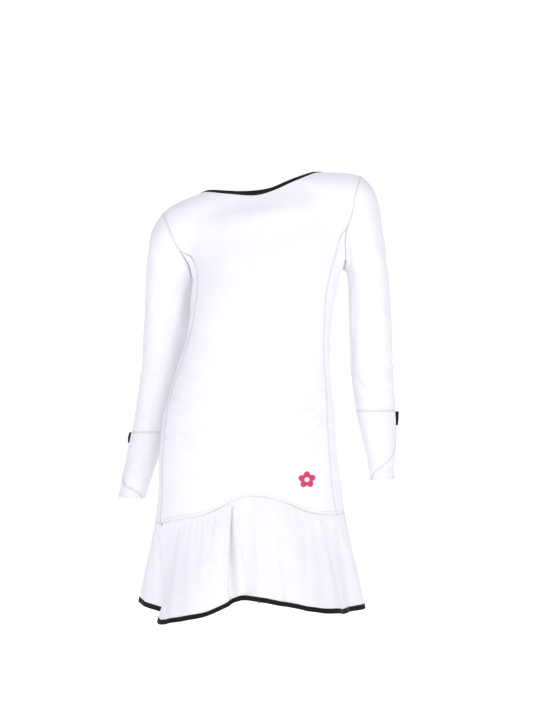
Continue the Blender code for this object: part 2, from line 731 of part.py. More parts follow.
def build_flounce(dress, waist):
    """The waved flounce under the dropped seam, in two pieces, and the black hem."""
    loop = halved(closed(waist))[:-1]
    seam_normals = unit(halved(closed(normals_on(body_field, waist)))[:-1])
    turns = np.arctan2(loop[:, 0] - SKIRT_CENTRE_X, -loop[:, 1])
    hem = hem_points(turns)
    seam_line = loop + seam_normals * fold_depth(loop)[:, None]
    fall = unit(hem - seam_line)
    edge = hem - fall * HEM_TRIM_HEIGHT / 2
    share = np.linspace(0, 1, FLOUNCE_STEPS + 1)[:, None, None]
    net = seam_line[None] * (1 - share) + edge[None] * share
    along = np.roll(net, -1, axis=1) - np.roll(net, 1, axis=1)
    normals = unit(np.cross(np.broadcast_to(fall, net.shape), along))
    outward = net - np.array([SKIRT_CENTRE_X, 0, 0])
    outward[..., 2] = 0
    normals *= np.sign((normals * outward).sum(axis=-1).mean())
    normals[0] = seam_normals
    front_steps = 2 * (2 * SHOULDER_STEPS + FRONT_NECK_STEPS)
    side_steps = 2 * UNDERARM_STEPS
    count = len(loop)
    start = -side_steps
    front = np.arange(start, front_steps + side_steps + 1) % count
    back = np.arange(front_steps + side_steps, count - side_steps + 1) % count
    for name, columns in (("flounce_front", front), ("flounce_back", back)):
        dress.wall(name, net[:, columns], normals[:, columns], CLOTH, dress.white)
    band = np.stack([edge + fall * GAP / 2, edge + fall * HEM_TRIM_HEIGHT])
    lift = (TRIM - CLOTH) / 2
    dress.wall("hem_binding", band, np.stack([normals[-1]] * 2), TRIM, dress.black,
               ring=True, lift=lift, inset=False)


def build_neck_binding(dress, front_neck, back_neck):
    """The black binding that stands on the neckline."""
    loop = halved(np.concatenate([front_neck, back_neck[1:]]))[:-1]
    normals = normals_on(body_field, loop)
    seam_line = loop + normals * fold_depth(loop)[:, None]
    along = np.roll(loop, -1, axis=0) - np.roll(loop, 1, axis=0)
    rise = unit(np.cross(normals, along))
    inwards = leaned(0.0, 0.0, ABOVE_NECK)[None] - loop
    rise *= np.sign((rise * inwards).sum(axis=1, keepdims=True))
    band = np.stack([seam_line + rise * GAP / 2, seam_line + rise * NECK_TRIM_HEIGHT])
    lift = (TRIM - CLOTH) / 2
    dress.wall("neck_binding", band, np.stack([normals] * 2), TRIM, dress.black,
               ring=True, lift=lift, inset=False)


def build_tabs(dress):
    """A folded black tab on the outer side of each sleeve, just under the cross seam."""
    for side, arm in ARMS.items():
        top = CROSS_SEAM_HEIGHT[side] - TAB_BELOW_SEAM
        heights = np.array([top, top - TAB_TALL[side]])
        foot = arm.ring_point(heights, np.zeros(2), OUT[side])
        foot = pull(sleeve_field(side), foot)
        out = np.array([OUT[side], 0, 0])
        half = TAB_SPREAD / 2
        reach = TAB_OUT - half
        bend = np.linspace(-math.pi / 2, math.pi / 2, TAB_FOLD_STEPS + 1)
        path = [(TAB_STANDOFF, -half)]
        path += [(reach + half * math.cos(t), half * math.sin(t)) for t in bend]
        path.append((TAB_STANDOFF, half))
        path = np.array(path)
        net = foot[:, None] + path[None, :, :1] * out + path[None, :, 1:] * np.array([0, 1.0, 0])
        run = np.gradient(path, axis=0)
        faces_out = np.stack([run[:, 1] * OUT[side], -run[:, 0], np.zeros(len(path))], axis=-1)
        normals = unit(faces_out)
        if (normals[TAB_FOLD_STEPS // 2 + 1] * out).sum() < 0:
            normals = -normals
        dress.wall("sleeve_tab_" + side, net, np.stack([normals] * 2), TAB_LAYER, dress.black,
                   inset=False)


def build():
    """The whole dress."""
    for old in list(bpy.data.objects):
        bpy.data.objects.remove(old, do_unlink=True)
    dress = Dress()
    armholes, front_neck, back_neck, waist = build_body(dress)
    build_sleeves(dress, armholes)
    build_flounce(dress, waist)
    build_neck_binding(dress, front_neck, back_neck)
    build_tabs(dress)


build()
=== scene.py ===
"""The looks of a long-sleeve jersey dress, filled out as it is worn, with nobody in it.

Each jersey panel is a thin shell grown from the outer face of its construction solid. Creases
and gathers are pressed into it, and the seams are closed inside and stitched outside.
X runs to the wearer's left, the front faces -Y and +Z is up. Sizes are in metres.
"""

import logging
import math
from collections.abc import Iterator, Sequence
from contextlib import contextmanager
from dataclasses import dataclass, field
from enum import Enum

import bmesh
import bpy
import numpy as np
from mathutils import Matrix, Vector
from mathutils.bvhtree import BVHTree
from mathutils.kdtree import KDTree


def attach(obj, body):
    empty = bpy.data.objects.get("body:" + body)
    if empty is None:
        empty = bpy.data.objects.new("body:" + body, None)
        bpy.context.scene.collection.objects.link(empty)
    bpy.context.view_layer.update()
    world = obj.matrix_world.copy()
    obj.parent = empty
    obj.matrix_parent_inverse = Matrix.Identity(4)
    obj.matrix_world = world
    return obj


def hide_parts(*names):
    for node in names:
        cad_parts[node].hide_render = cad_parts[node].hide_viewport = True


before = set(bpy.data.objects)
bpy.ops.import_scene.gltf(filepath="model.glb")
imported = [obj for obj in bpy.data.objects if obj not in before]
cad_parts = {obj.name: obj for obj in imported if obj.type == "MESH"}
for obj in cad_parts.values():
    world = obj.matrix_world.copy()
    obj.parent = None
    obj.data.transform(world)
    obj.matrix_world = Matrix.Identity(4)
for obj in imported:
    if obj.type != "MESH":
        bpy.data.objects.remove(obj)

LOG = logging.getLogger("dress")
MM = 0.001
ROOT = "root"

# The solids' walls, and how the panels and their seams are read from them.
WALL = 1.6 * MM
WALL_SLACK = 0.12 * MM
MERGE_WITHIN = 0.02 * MM
SHELL = 1.1 * MM
SEAM_DIP = 0.55 * MM
CORNER_TURN = math.radians(32)
SHARP_TURN = math.radians(52)
QUAD_TURN = math.radians(50)
EDGE_TURN = math.radians(50)
CORNER_NEAR = 1.2 * MM
SEAM_REACH = 2.6 * MM
SEAM_STEP = 1.5 * MM
SEAM_SHORTEST = 3

# How deep a crease is along its path, how its banks rise, and where it fades as the form turns away.
CREASE_ENDS = 0.06
CREASE_SWELL = 0.7
BANK_HEIGHT = 0.32
BANK_REACH = 1.9
SEEN_FROM = 0.05
SEEN_OVER = 0.4

# One stitch: its facets, its breadth to its thickness, and how high it lies on the cloth.
BEAD_SIDES = 6
BEAD_RINGS = 4
BEAD_SPREAD = 1.25
BEAD_BED = 0.28

# The radians that a wave texture turns by in a metre, at scale 1.
WAVE_RATE = 20

# What share of its solid's width each tab keeps at its top, middle and bottom, and where
# the small hand stitches lie.
TAB_REACH = {"left": (1.0, 0.9, 0.62), "right": (0.72, 0.82, 0.5)}
CUFF_TACKS = {"left": (259 * MM, 0.0, -572 * MM), "right": (-285 * MM, 40 * MM, -613 * MM)}
SEAM_KNOT = (-187 * MM, -50 * MM, -664 * MM)
HEM_JOIN = (9 * MM, -190 * MM, -789 * MM)


class View(Enum):
    """The side that a crease is seen from: its outward direction and the axis across it."""

    FRONT = ((0.0, -1.0, 0.0), 0)
    BACK = ((0.0, 1.0, 0.0), 0)
    WEARERS_LEFT = ((1.0, 0.0, 0.0), 1)
    WEARERS_RIGHT = ((-1.0, 0.0, 0.0), 1)


class Slot(Enum):
    """The names of two material slots, the white jersey and the black trim."""

    JERSEY = "white_jersey"
    TRIM = "black_trim"


class Thread(Enum):
    """The threads: each one's name, and its colour in light and in shade."""

    GREY = ("grey_thread", (0.56, 0.55, 0.61), (0.42, 0.41, 0.47))
    PALE = ("pale_thread", (0.70, 0.69, 0.75), (0.56, 0.55, 0.61))
    TAPE = ("tape_thread", (0.055, 0.035, 0.045), (0.030, 0.018, 0.025))
    DARK = ("dark_thread", (0.10, 0.06, 0.09), (0.05, 0.03, 0.05))
    KNOT = ("knot_thread", (0.40, 0.38, 0.44), (0.28, 0.26, 0.32))
    PINK = ("pink_thread", (0.78, 0.07, 0.16), (0.52, 0.03, 0.10))
    WHITE = ("white_thread", (0.86, 0.82, 0.84), (0.74, 0.70, 0.74))


def select_only(piece: bpy.types.Object) -> None:
    """Makes one object the selected and active one.

    Args:
        piece: The object.
    """
    bpy.ops.object.select_all(action="DESELECT")
    piece.select_set(True)
    bpy.context.view_layer.objects.active = piece


def apply_modifier(piece: bpy.types.Object, kind: str, **settings: object) -> None:
    """Adds a modifier to a piece and applies it.

    Args:
        piece: The mesh to change.
        kind: The modifier's type.
        settings: Values set on the modifier.
    """
    modifier = piece.modifiers.new(kind.lower(), kind)
    for name, value in settings.items():
        setattr(modifier, name, value)
    select_only(piece)
    bpy.ops.object.modifier_apply(modifier=modifier.name)


@contextmanager
def editing(piece: bpy.types.Object) -> Iterator[None]:
    """Opens a whole mesh in edit mode, and closes it afterwards.

    Args:
        piece: The mesh.

    Returns:
        A context in which edit mode's operators act on the whole mesh.
    """
    select_only(piece)
    bpy.ops.object.mode_set(mode="EDIT")
    bpy.ops.mesh.select_all(action="SELECT")
    yield
    bpy.ops.object.mode_set(mode="OBJECT")


def points_of(piece: bpy.types.Object) -> np.ndarray:
    """Reads where a mesh's points are.

    Args:
        piece: The mesh.

    Returns:
        Its points, one to a row.
    """
    flat = np.empty(len(piece.data.vertices) * 3)
    piece.data.vertices.foreach_get("co", flat)
    return flat.reshape(-1, 3)


def normals_of(piece: bpy.types.Object) -> np.ndarray:
    """Reads which way a mesh faces at its points.

    Args:
        piece: The mesh.

    Returns:
        The outward direction at each point, one to a row.
    """
    flat = np.empty(len(piece.data.vertices) * 3)
    piece.data.vertices.foreach_get("normal", flat)
    return flat.reshape(-1, 3)


def move_points(piece: bpy.types.Object, points: np.ndarray) -> None:
    """Puts the piece's points in new places."""
    piece.data.vertices.foreach_set("co", points.ravel())
    piece.data.update()


def unit(vectors: np.ndarray) -> np.ndarray:
    """The vectors at length one."""
    return vectors / np.maximum(np.linalg.norm(vectors, axis=-1, keepdims=True), 1e-12)


def eased(share: np.ndarray) -> np.ndarray:
    """A share held between 0 and 1, with soft ends."""
    held = np.clip(share, 0, 1)
    return held * held * (3 - 2 * held)


def indexed(points: Sequence[Vector] | np.ndarray) -> KDTree:
    """Makes a search tree of points.

    Args:
        points: The points.

    Returns:
        The tree, which knows each point by its place in the row.
    """
    tree = KDTree(len(points))
    for k, point in enumerate(points):
        tree.insert(point, k)
    tree.balance()
    return tree


def copied_node(node: str, name: str) -> bpy.types.Object:
    """A copy of a construction solid, its loose triangles merged into quads.

    Args:
        node: The solid's name in the frame.
        name: The new piece's name.

    Returns:
        The copy, with no material.
    """
    copy = bpy.data.objects.new(name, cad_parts[node].data.copy())
    copy.data.materials.clear()
    bpy.context.scene.collection.objects.link(copy)
    select_only(copy)
    if copy.data.has_custom_normals:
        bpy.ops.mesh.customdata_custom_splitnormals_clear()
    with editing(copy):
        bpy.ops.mesh.remove_doubles(threshold=MERGE_WITHIN)
        bpy.ops.mesh.tris_convert_to_quads(face_threshold=QUAD_TURN, shape_threshold=math.pi)
        bpy.ops.mesh.mark_sharp(clear=True)
    return copy


def islands(mesh: bmesh.types.BMesh) -> list[list[bmesh.types.BMFace]]:
    """Sorts a mesh's faces into groups that are joined by edges.

    Args:
        mesh: The mesh.

    Returns:
        The groups.
    """
    left, found = set(mesh.faces), []
    while left:
        group, ahead = [], [left.pop()]
        while ahead:
            face = ahead.pop()
            group.append(face)
            near = {f for e in face.edges for f in e.link_faces} & left
            left -= near
            ahead += near
        found.append(group)
    return found


def keep_outer_sheet(piece: bpy.types.Object) -> list[Vector]:
    """Leaves only the outer face of a cloth wall.

    Args:
        piece: The merged copy of a panel's solid.

    Returns:
        The points at which the sheet's edge turns a corner.
    """
    mesh = bmesh.new()
    mesh.from_mesh(piece.data)
    rim = [f for f in mesh.faces if any(abs(e.calc_length() - WALL) < WALL_SLACK for e in f.edges)]
    bmesh.ops.delete(mesh, geom=rim, context="FACES")
    outer = max(islands(mesh), key=lambda group: sum(f.calc_area() for f in group))
    rest = list(set(mesh.faces) - set(outer))
    bmesh.ops.delete(mesh, geom=rest, context="FACES")
    corners = []
    for point in mesh.verts:
        ends = [e.other_vert(point).co - point.co for e in point.link_edges if e.is_boundary]
        if len(ends) == 2 and math.pi - ends[0].angle(ends[1]) > CORNER_TURN:
            corners.append(point.co.copy())
    mesh.to_mesh(piece.data)
    mesh.free()
    return corners


def hold_corners(piece: bpy.types.Object, corners: KDTree) -> None:
    """Keeps a sheet's edge points where they are if any panel turns a corner there.

    Args:
        piece: The sheet.
        corners: The corners of all the panels.
    """
    mesh = bmesh.new()
    mesh.from_mesh(piece.data)
    held = mesh.verts.layers.float.get("crease_vert") or mesh.verts.layers.float.new("crease_vert")
    for point in mesh.verts:
        if point.is_boundary and corners.find(point.co)[2] < CORNER_NEAR:
            point[held] = 1.0
    mesh.to_mesh(piece.data)
    mesh.free()


@dataclass
class Middle:
    """The line down the middle of a tube of cloth, read from the frame's solids."""

    nodes: tuple[str, ...]
    girth: float
    slices: int = 9
    heights: np.ndarray = field(init=False)
    centres: np.ndarray = field(init=False)

    def __post_init__(self) -> None:
        """Works out the middle of each slice of the solids' points."""
        points = np.concatenate([points_of(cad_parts[node]) for node in self.nodes])
        edges = np.linspace(points[:, 2].min(), points[:, 2].max(), self.slices + 1)
        rows = []
        for low, high in zip(edges[:-1], edges[1:]):
            part = points[(points[:, 2] >= low) & (points[:, 2] <= high)]
            rows.append((part[:, :2].min(axis=0) + part[:, :2].max(axis=0)) / 2)
        self.heights = (edges[:-1] + edges[1:]) / 2
        self.centres = np.array(rows)

    def turns(self, points: np.ndarray) -> np.ndarray:
        """Measures how far round the middle points lie.

        Args:
            points: The points.

        Returns:
            A share of the whole turn for each, from 0 to 1, measured from the back.
        """
        across = points[:, 0] - np.interp(points[:, 2], self.heights, self.centres[:, 0])
        ahead = points[:, 1] - np.interp(points[:, 2], self.heights, self.centres[:, 1])
        return (np.arctan2(across, -ahead) / (2 * math.pi)) % 1.0

    def lay_grain(self, piece: bpy.types.Object) -> None:
        """Gives a piece a UV map in metres: round the tube, and up it.

        Args:
            piece: A finished mesh on the tube.
        """
        mesh = piece.data
        layer = mesh.uv_layers.get("grain") or mesh.uv_layers.new(name="grain")
        points = points_of(piece)
        corners = np.empty(len(mesh.loops), int)
        mesh.loops.foreach_get("vertex_index", corners)
        starts = np.empty(len(mesh.polygons), int)
        mesh.polygons.foreach_get("loop_start", starts)
        turn = self.turns(points)[corners]
        face = np.repeat(np.arange(len(starts)), np.diff(np.append(starts, len(corners))))
        low, high = np.ones(len(starts)), np.zeros(len(starts))
        np.minimum.at(low, face, turn)
        np.maximum.at(high, face, turn)
        turn = np.where((high - low > 0.5)[face] & (turn < 0.5), turn + 1, turn)
        flat = np.stack([turn * self.girth, points[corners, 2]], axis=-1)
        layer.data.foreach_set("uv", flat.ravel())


@dataclass(frozen=True)
class Crease:
    """A soft trough or ridge along a path seen from one side, in millimetres.

    The path's points are (across, height) as seen from that side. A negative depth is a trough.
    Its width grows along the path, and one bank can be steeper than the other. An open crease
    keeps its depth to the path's end.
    """

    view: View
    path: tuple[tuple[float, float], ...]
    width: float
    depth: float
    grow: float = 0.4
    steep: float = 1.0
    is_open: bool = False

    def depth_at(self, points: np.ndarray, normals: np.ndarray) -> np.ndarray:
        """Works out how far the crease moves the cloth.

        Args:
            points: The cloth's points.
            normals: The outward direction at each.

        Returns:
            How far each point goes out, in metres.
        """
        facing, axis = self.view.value
        seen = points[:, (axis, 2)]
        route = np.array(self.path) * MM
        lengths = np.linalg.norm(np.diff(route, axis=0), axis=1)
        before = np.concatenate([[0], np.cumsum(lengths)])
        away = np.full(len(points), np.inf)
        along = np.zeros(len(points))
        bank = np.zeros(len(points))
        for k, start in enumerate(route[:-1]):
            run = route[k + 1] - start
            off = seen - start
            share = np.clip(off @ run / (run @ run), 0, 1)
            far = np.linalg.norm(off - share[:, None] * run, axis=1)
            along = np.where(far < away, (before[k] + share * lengths[k]) / before[-1], along)
            bank = np.where(far < away, run[0] * off[:, 1] - run[1] * off[:, 0], bank)
            away = np.minimum(away, far)
        width = self.width * MM * (1 + self.grow * (along - 0.5))
        width = np.where(bank > 0, width * self.steep, width)
        last = 0.5 if self.is_open else 1 - CREASE_ENDS
        taper = np.sin(math.pi * (CREASE_ENDS + (last - CREASE_ENDS) * along)) ** CREASE_SWELL
        trough = np.exp(-(away / width) ** 2)
        banks = BANK_HEIGHT * np.exp(-((away - BANK_REACH * width) / width) ** 2)
        shown = eased((normals @ np.array(facing) - SEEN_FROM) / SEEN_OVER)
        return self.depth * MM * taper * (trough - banks) * shown


@dataclass(frozen=True)
class Ripple:
    """The uneven lie of worn jersey: a few slow waves that cross each other."""

    height: float = 0.55
    slowest: float = 95.0
    quickest: float = 34.0
    waves: int = 9
    seed: int = 11

    def depth_at(self, points: np.ndarray, normals: np.ndarray) -> np.ndarray:
        """Works out how far the waves move the cloth.

        Args:
            points: The cloth's points.
            normals: The outward direction at each, which the waves take no notice of.

        Returns:
            How far each point goes out, in metres.
        """
        chance = np.random.default_rng(self.seed)
        total = np.zeros(len(points))
        for _ in range(self.waves):
            way = unit(chance.normal(size=3))
            length = chance.uniform(self.quickest, self.slowest) * MM
            total += np.sin(points @ way * 2 * math.pi / length + chance.uniform(0, 2 * math.pi))
        return total * self.height * MM / math.sqrt(self.waves)


def creases(view: View, *rows: tuple) -> list[Crease]:
    """Creases seen from one side, from rows of width, depth and the path's points."""
    return [Crease(view, tuple(path), width, depth) for width, depth, *path in rows]


def folds(view: View, *rows: tuple) -> list[Crease]:
    """Folds that run out at the hem, from rows of width, depth, growth, bank and the path's points."""
    return [Crease(view, tuple(path), *sizes, True) for *sizes, path in rows]


BODY_CREASES = creases(
    View.FRONT,
    (6.0, -1.4, (-160, -382), (-141, -396), (-112, -409)),
    (4.6, -2.7, (-165, -412), (-147, -427), (-126, -447)),
    (4.0, -1.6, (-169, -438), (-150, -452), (-131, -463)),
    (4.6, -2.9, (-173, -466), (-149, -483), (-122, -500)),
    (4.0, -1.9, (-174, -482), (-150, -499), (-128, -514)),
    (4.6, -2.5, (-174, -507), (-154, -528), (-132, -545)),
    (5.0, -1.3, (-174, -540), (-160, -556), (-148, -570)),
    (6.0, -1.8, (124, -372), (92, -388), (58, -394)),
    (4.6, -2.2, (126, -398), (99, -413), (78, -420)),
    (5.2, -3.6, (125, -417), (71, -448), (19, -477)),
    (4.2, -2.4, (126, -441), (97, -459), (68, -471)),
    (4.2, -2.6, (125, -463), (99, -481), (77, -494)),
    (5.0, -3.4, (123, -487), (83, -513), (46, -537)),
    (5.0, -3.3, (121, -511), (84, -546), (46, -583)),
    (4.6, -1.8, (128, -546), (112, -566), (102, -588)),
    (8.0, -1.2, (-138, -138), (-116, -152), (-92, -158)),
    (8.0, -1.1, (132, -118), (110, -136), (86, -144)),
    (12.0, -1.1, (-120, -300), (-70, -326), (-18, -333)),
    (12.0, -1.1, (108, -292), (66, -316), (20, -322)),
    (9.0, 0.9, (-150, -330), (-112, -352), (-72, -362)),
) + creases(
    View.BACK,
    (9.0, -2.4, (-118, -296), (-50, -316), (8, -318), (96, -290)),
    (8.0, -1.9, (-104, -338), (-38, -352), (44, -348), (108, -328)),
    (8.0, -1.5, (-78, -272), (-20, -286), (52, -276)),
    (7.0, -1.5, (-148, -420), (-118, -440), (-78, -452)),
    (6.0, -1.6, (-158, -470), (-126, -490), (-92, -499)),
    (6.0, -1.5, (122, -410), (92, -432), (58, -441)),
    (6.0, -1.6, (126, -462), (98, -484), (70, -493)),
    (7.0, -1.3, (-154, -540), (-120, -560), (-88, -566)),
    (7.0, -1.3, (128, -530), (102, -552), (76, -560)),
    (12.0, -1.8, (-132, -120), (-96, -150), (-46, -176)),
    (12.0, -1.8, (136, -92), (98, -126), (52, -152)),
    (13.0, -1.2, (-84, -52), (-30, -66), (28, -58)),
) + creases(
    View.WEARERS_LEFT,
    (7.0, -1.4, (-50, -300), (-8, -314), (38, -306)),
    (6.0, -1.2, (-44, -400), (0, -418), (40, -410)),
    (6.0, -1.3, (-52, -470), (-14, -486), (30, -482)),
    (6.0, -1.1, (-44, -560), (-4, -574), (38, -568)),
) + creases(
    View.WEARERS_RIGHT,
    (7.0, -1.4, (-46, -318), (-2, -334), (40, -324)),
    (6.0, -1.3, (-50, -418), (-8, -434), (36, -428)),
    (6.0, -1.3, (-52, -488), (-10, -506), (34, -500)),
    (6.0, -1.1, (-46, -580), (0, -592), (40, -586)),
)

RIGHT_SLEEVE_CREASES = creases(
    View.FRONT,
    (8.0, -2.8, (-139, -186), (-150, -259), (-168, -347)),
    (7.0, -1.6, (-156, -190), (-172, -240), (-184, -292)),
    (8.0, -1.3, (-205, -120), (-192, -158), (-168, -184)),
    (7.0, -1.7, (-238, -318), (-212, -338), (-184, -336)),
    (6.0, -1.6, (-240, -352), (-216, -372), (-186, -370)),
    (6.0, -1.3, (-246, -398), (-226, -410), (-202, -404)),
    (5.0, -1.4, (-256, -446), (-236, -460), (-210, -452)),
    (5.0, -1.1, (-262, -470), (-246, -478), (-228, -474)),
) + creases(
    View.BACK,
    (8.0, -1.9, (-150, -176), (-172, -214), (-204, -240)),
    (8.0, -1.7, (-152, -230), (-180, -262), (-222, -276)),
    (7.0, -1.8, (-168, -330), (-200, -352), (-236, -346)),
    (6.0, -1.7, (-176, -372), (-206, -394), (-244, -386)),
    (6.0, -1.4, (-196, -432), (-226, -448), (-256, -440)),
) + creases(
    View.WEARERS_RIGHT,
    (9.0, -1.2, (-6, -120), (22, -150), (52, -158)),
    (8.0, -1.3, (22, -236), (50, -262), (84, -262)),
    (6.0, -1.4, (46, -356), (72, -374), (104, -366)),
    (5.0, -1.2, (48, -432), (74, -446), (104, -440)),
)

LEFT_SLEEVE_CREASES = creases(
    View.FRONT,
    (7.0, -2.4, (170, -128), (176, -202), (182, -272)),
    (6.0, -1.9, (182, -262), (177, -328), (176, -372)),
    (5.5, -2.2, (176, -366), (194, -395), (220, -424)),
    (6.0, -1.6, (184, -150), (200, -200), (210, -246)),
    (7.0, -1.3, (238, -226), (222, -258), (196, -276)),
    (6.0, -1.6, (246, -300), (224, -322), (196, -324)),
    (6.0, -1.6, (250, -344), (226, -364), (198, -362)),
    (5.0, -1.3, (254, -392), (238, -408), (214, -406)),
    (5.0, -1.2, (256, -426), (242, -434), (226, -432)),
) + creases(
    View.BACK,
    (8.0, -2.0, (172, -146), (192, -190), (224, -212)),
    (8.0, -1.7, (176, -210), (200, -244), (236, -254)),
    (7.0, -1.8, (178, -312), (206, -334), (244, -326)),
    (6.0, -1.6, (184, -356), (210, -376), (248, -368)),
    (5.0, -1.3, (194, -406), (220, -420), (252, -412)),
) + creases(
    View.WEARERS_LEFT,
    (9.0, -1.3, (-32, -110), (-4, -146), (30, -158)),
    (8.0, -1.2, (-14, -228), (16, -256), (50, -252)),
    (6.0, -1.5, (0, -330), (28, -352), (62, -344)),
    (5.0, -1.2, (2, -398), (30, -412), (60, -406)),
)

RIGHT_FOREARM_CREASES = creases(
    View.FRONT,
    (5.0, -1.0, (-272, -508), (-252, -522), (-226, -518)),
    (5.0, -0.9, (-276, -548), (-256, -560), (-236, -556)),
) + creases(
    View.BACK,
    (5.0, -1.1, (-212, -512), (-238, -528), (-268, -522)),
    (5.0, -0.9, (-226, -560), (-250, -572), (-276, -566)),
)

LEFT_FOREARM_CREASES = creases(
    View.FRONT,
    (5.0, -1.0, (256, -462), (236, -478), (208, -472)),
    (5.0, -0.9, (256, -506), (240, -516), (220, -512)),
) + creases(
    View.BACK,
    (5.0, -1.1, (200, -468), (226, -484), (256, -476)),
    (5.0, -0.9, (212, -520), (232, -530), (254, -524)),
)

FLOUNCE_FOLDS = [
    Crease(View.FRONT, ((-45, -626), (-42, -701), (-36, -816)), 5.0, -13.0, 1.2, 0.75),
    Crease(View.FRONT, ((-41, -626), (-33, -701), (-21, -816)), 4.4, 5.5, 1.1, 0.8),
] + folds(
    View.FRONT,
    (8.5, -3.6, 0.9, 0.7, ((29, -634), (42, -710), (56, -812))),
    (9.0, 1.9, 0.9, 1.0, ((4, -640), (8, -712), (16, -812))),
    (6.5, -3.4, 0.8, 0.8, ((-196, -672), (-189, -745), (-185, -830))),
    (7.5, -2.6, 0.9, 0.8, ((-150, -664), (-160, -735), (-168, -830))),
    (9.0, 2.2, 0.9, 1.0, ((-126, -669), (-121, -735), (-115, -820))),
    (8.0, -2.0, 0.8, 1.0, ((-86, -660), (-84, -730), (-80, -815))),
    (9.0, -2.4, 0.9, 0.8, ((92, -648), (98, -722), (104, -812))),
    (8.5, 2.2, 0.9, 1.0, ((126, -660), (139, -730), (150, -815))),
    (7.5, -2.8, 0.9, 0.8, ((150, -664), (166, -730), (180, -812))),
) + folds(
    View.BACK,
    (9.0, -4.2, 1.0, 0.7, ((-92, -650), (-104, -720), (-122, -815))),
    (9.5, 2.2, 0.9, 1.0, ((-58, -648), (-62, -720), (-68, -815))),
    (8.5, -4.0, 0.9, 0.8, ((-22, -636), (-26, -714), (-33, -815))),
    (9.0, 2.0, 0.9, 1.0, ((24, -640), (27, -716), (31, -812))),
    (8.5, -3.8, 1.0, 0.8, ((60, -646), (73, -718), (90, -812))),
    (7.5, -3.0, 0.9, 0.9, ((-142, -662), (-158, -724), (-180, -812))),
    (7.5, -3.0, 0.9, 0.9, ((118, -658), (133, -722), (154, -806))),
) + folds(
    View.WEARERS_LEFT,
    (7.5, -2.8, 0.9, 1.0, ((-66, -655), (-88, -730), (-112, -808))),
    (8.0, -3.0, 0.9, 1.0, ((42, -655), (66, -730), (92, -806))),
) + folds(
    View.WEARERS_RIGHT,
    (7.5, -3.0, 0.9, 1.0, ((-6, -672), (-12, -745), (-20, -820))),
    (8.0, -3.0, 0.9, 1.0, ((44, -668), (68, -740), (94, -812))),
)

FLOUNCE_GATHERS = creases(
    View.FRONT,
    (3.4, -0.7, (-158, -655), (-162, -680)),
    (3.6, -1.0, (-126, -648), (-129, -690)),
    (3.0, -0.8, (-112, -645), (-113, -668)),
    (3.4, -1.2, (-102, -643), (-104, -702)),
    (2.8, -0.8, (-92, -641), (-93, -664)),
    (3.4, -1.1, (-80, -638), (-82, -684)),
    (3.0, -0.6, (-63, -633), (-64, -656)),
    (3.2, -0.9, (-12, -614), (-11, -642)),
    (3.0, -0.7, (14, -614), (17, -634)),
    (3.4, -0.7, (64, -625), (69, -660)),
    (3.0, -0.6, (84, -632), (88, -654)),
    (3.4, -1.0, (107, -639), (114, -686)),
    (2.8, -0.8, (122, -642), (127, -664)),
    (3.4, -1.1, (136, -645), (145, -694)),
    (3.0, -0.7, (152, -648), (159, -672)),
) + creases(
    View.BACK,
    (3.4, -2.1, (-150, -655), (-156, -690)),
    (3.0, -1.6, (-133, -652), (-137, -674)),
    (3.4, -2.5, (-116, -647), (-121, -695)),
    (3.0, -1.8, (-103, -643), (-107, -668)),
    (3.2, -2.2, (-78, -637), (-81, -678)),
    (3.0, -1.6, (-62, -634), (-64, -660)),
    (3.4, -2.3, (-44, -631), (-46, -682)),
    (3.0, -1.5, (-8, -629), (-9, -655)),
    (3.2, -1.9, (9, -630), (10, -672)),
    (3.0, -1.6, (38, -633), (41, -660)),
    (3.4, -2.4, (50, -635), (55, -688)),
    (3.0, -1.7, (76, -640), (81, -667)),
    (3.4, -2.4, (91, -643), (98, -692)),
    (3.0, -1.7, (106, -646), (112, -670)),
    (3.4, -2.1, (134, -650), (142, -688)),
) + creases(
    View.WEARERS_LEFT,
    (3.6, -1.0, (-26, -652), (-33, -698)),
    (3.0, -0.7, (-7, -653), (-9, -672)),
    (3.8, -1.2, (14, -652), (19, -706)),
    (3.0, -0.7, (30, -651), (36, -676)),
) + creases(
    View.WEARERS_RIGHT,
    (3.6, -1.1, (-34, -665), (-41, -704)),
    (3.0, -0.7, (-12, -668), (-14, -686)),
    (3.8, -1.2, (11, -668), (13, -716)),
    (3.0, -0.8, (29, -665), (35, -692)),
)


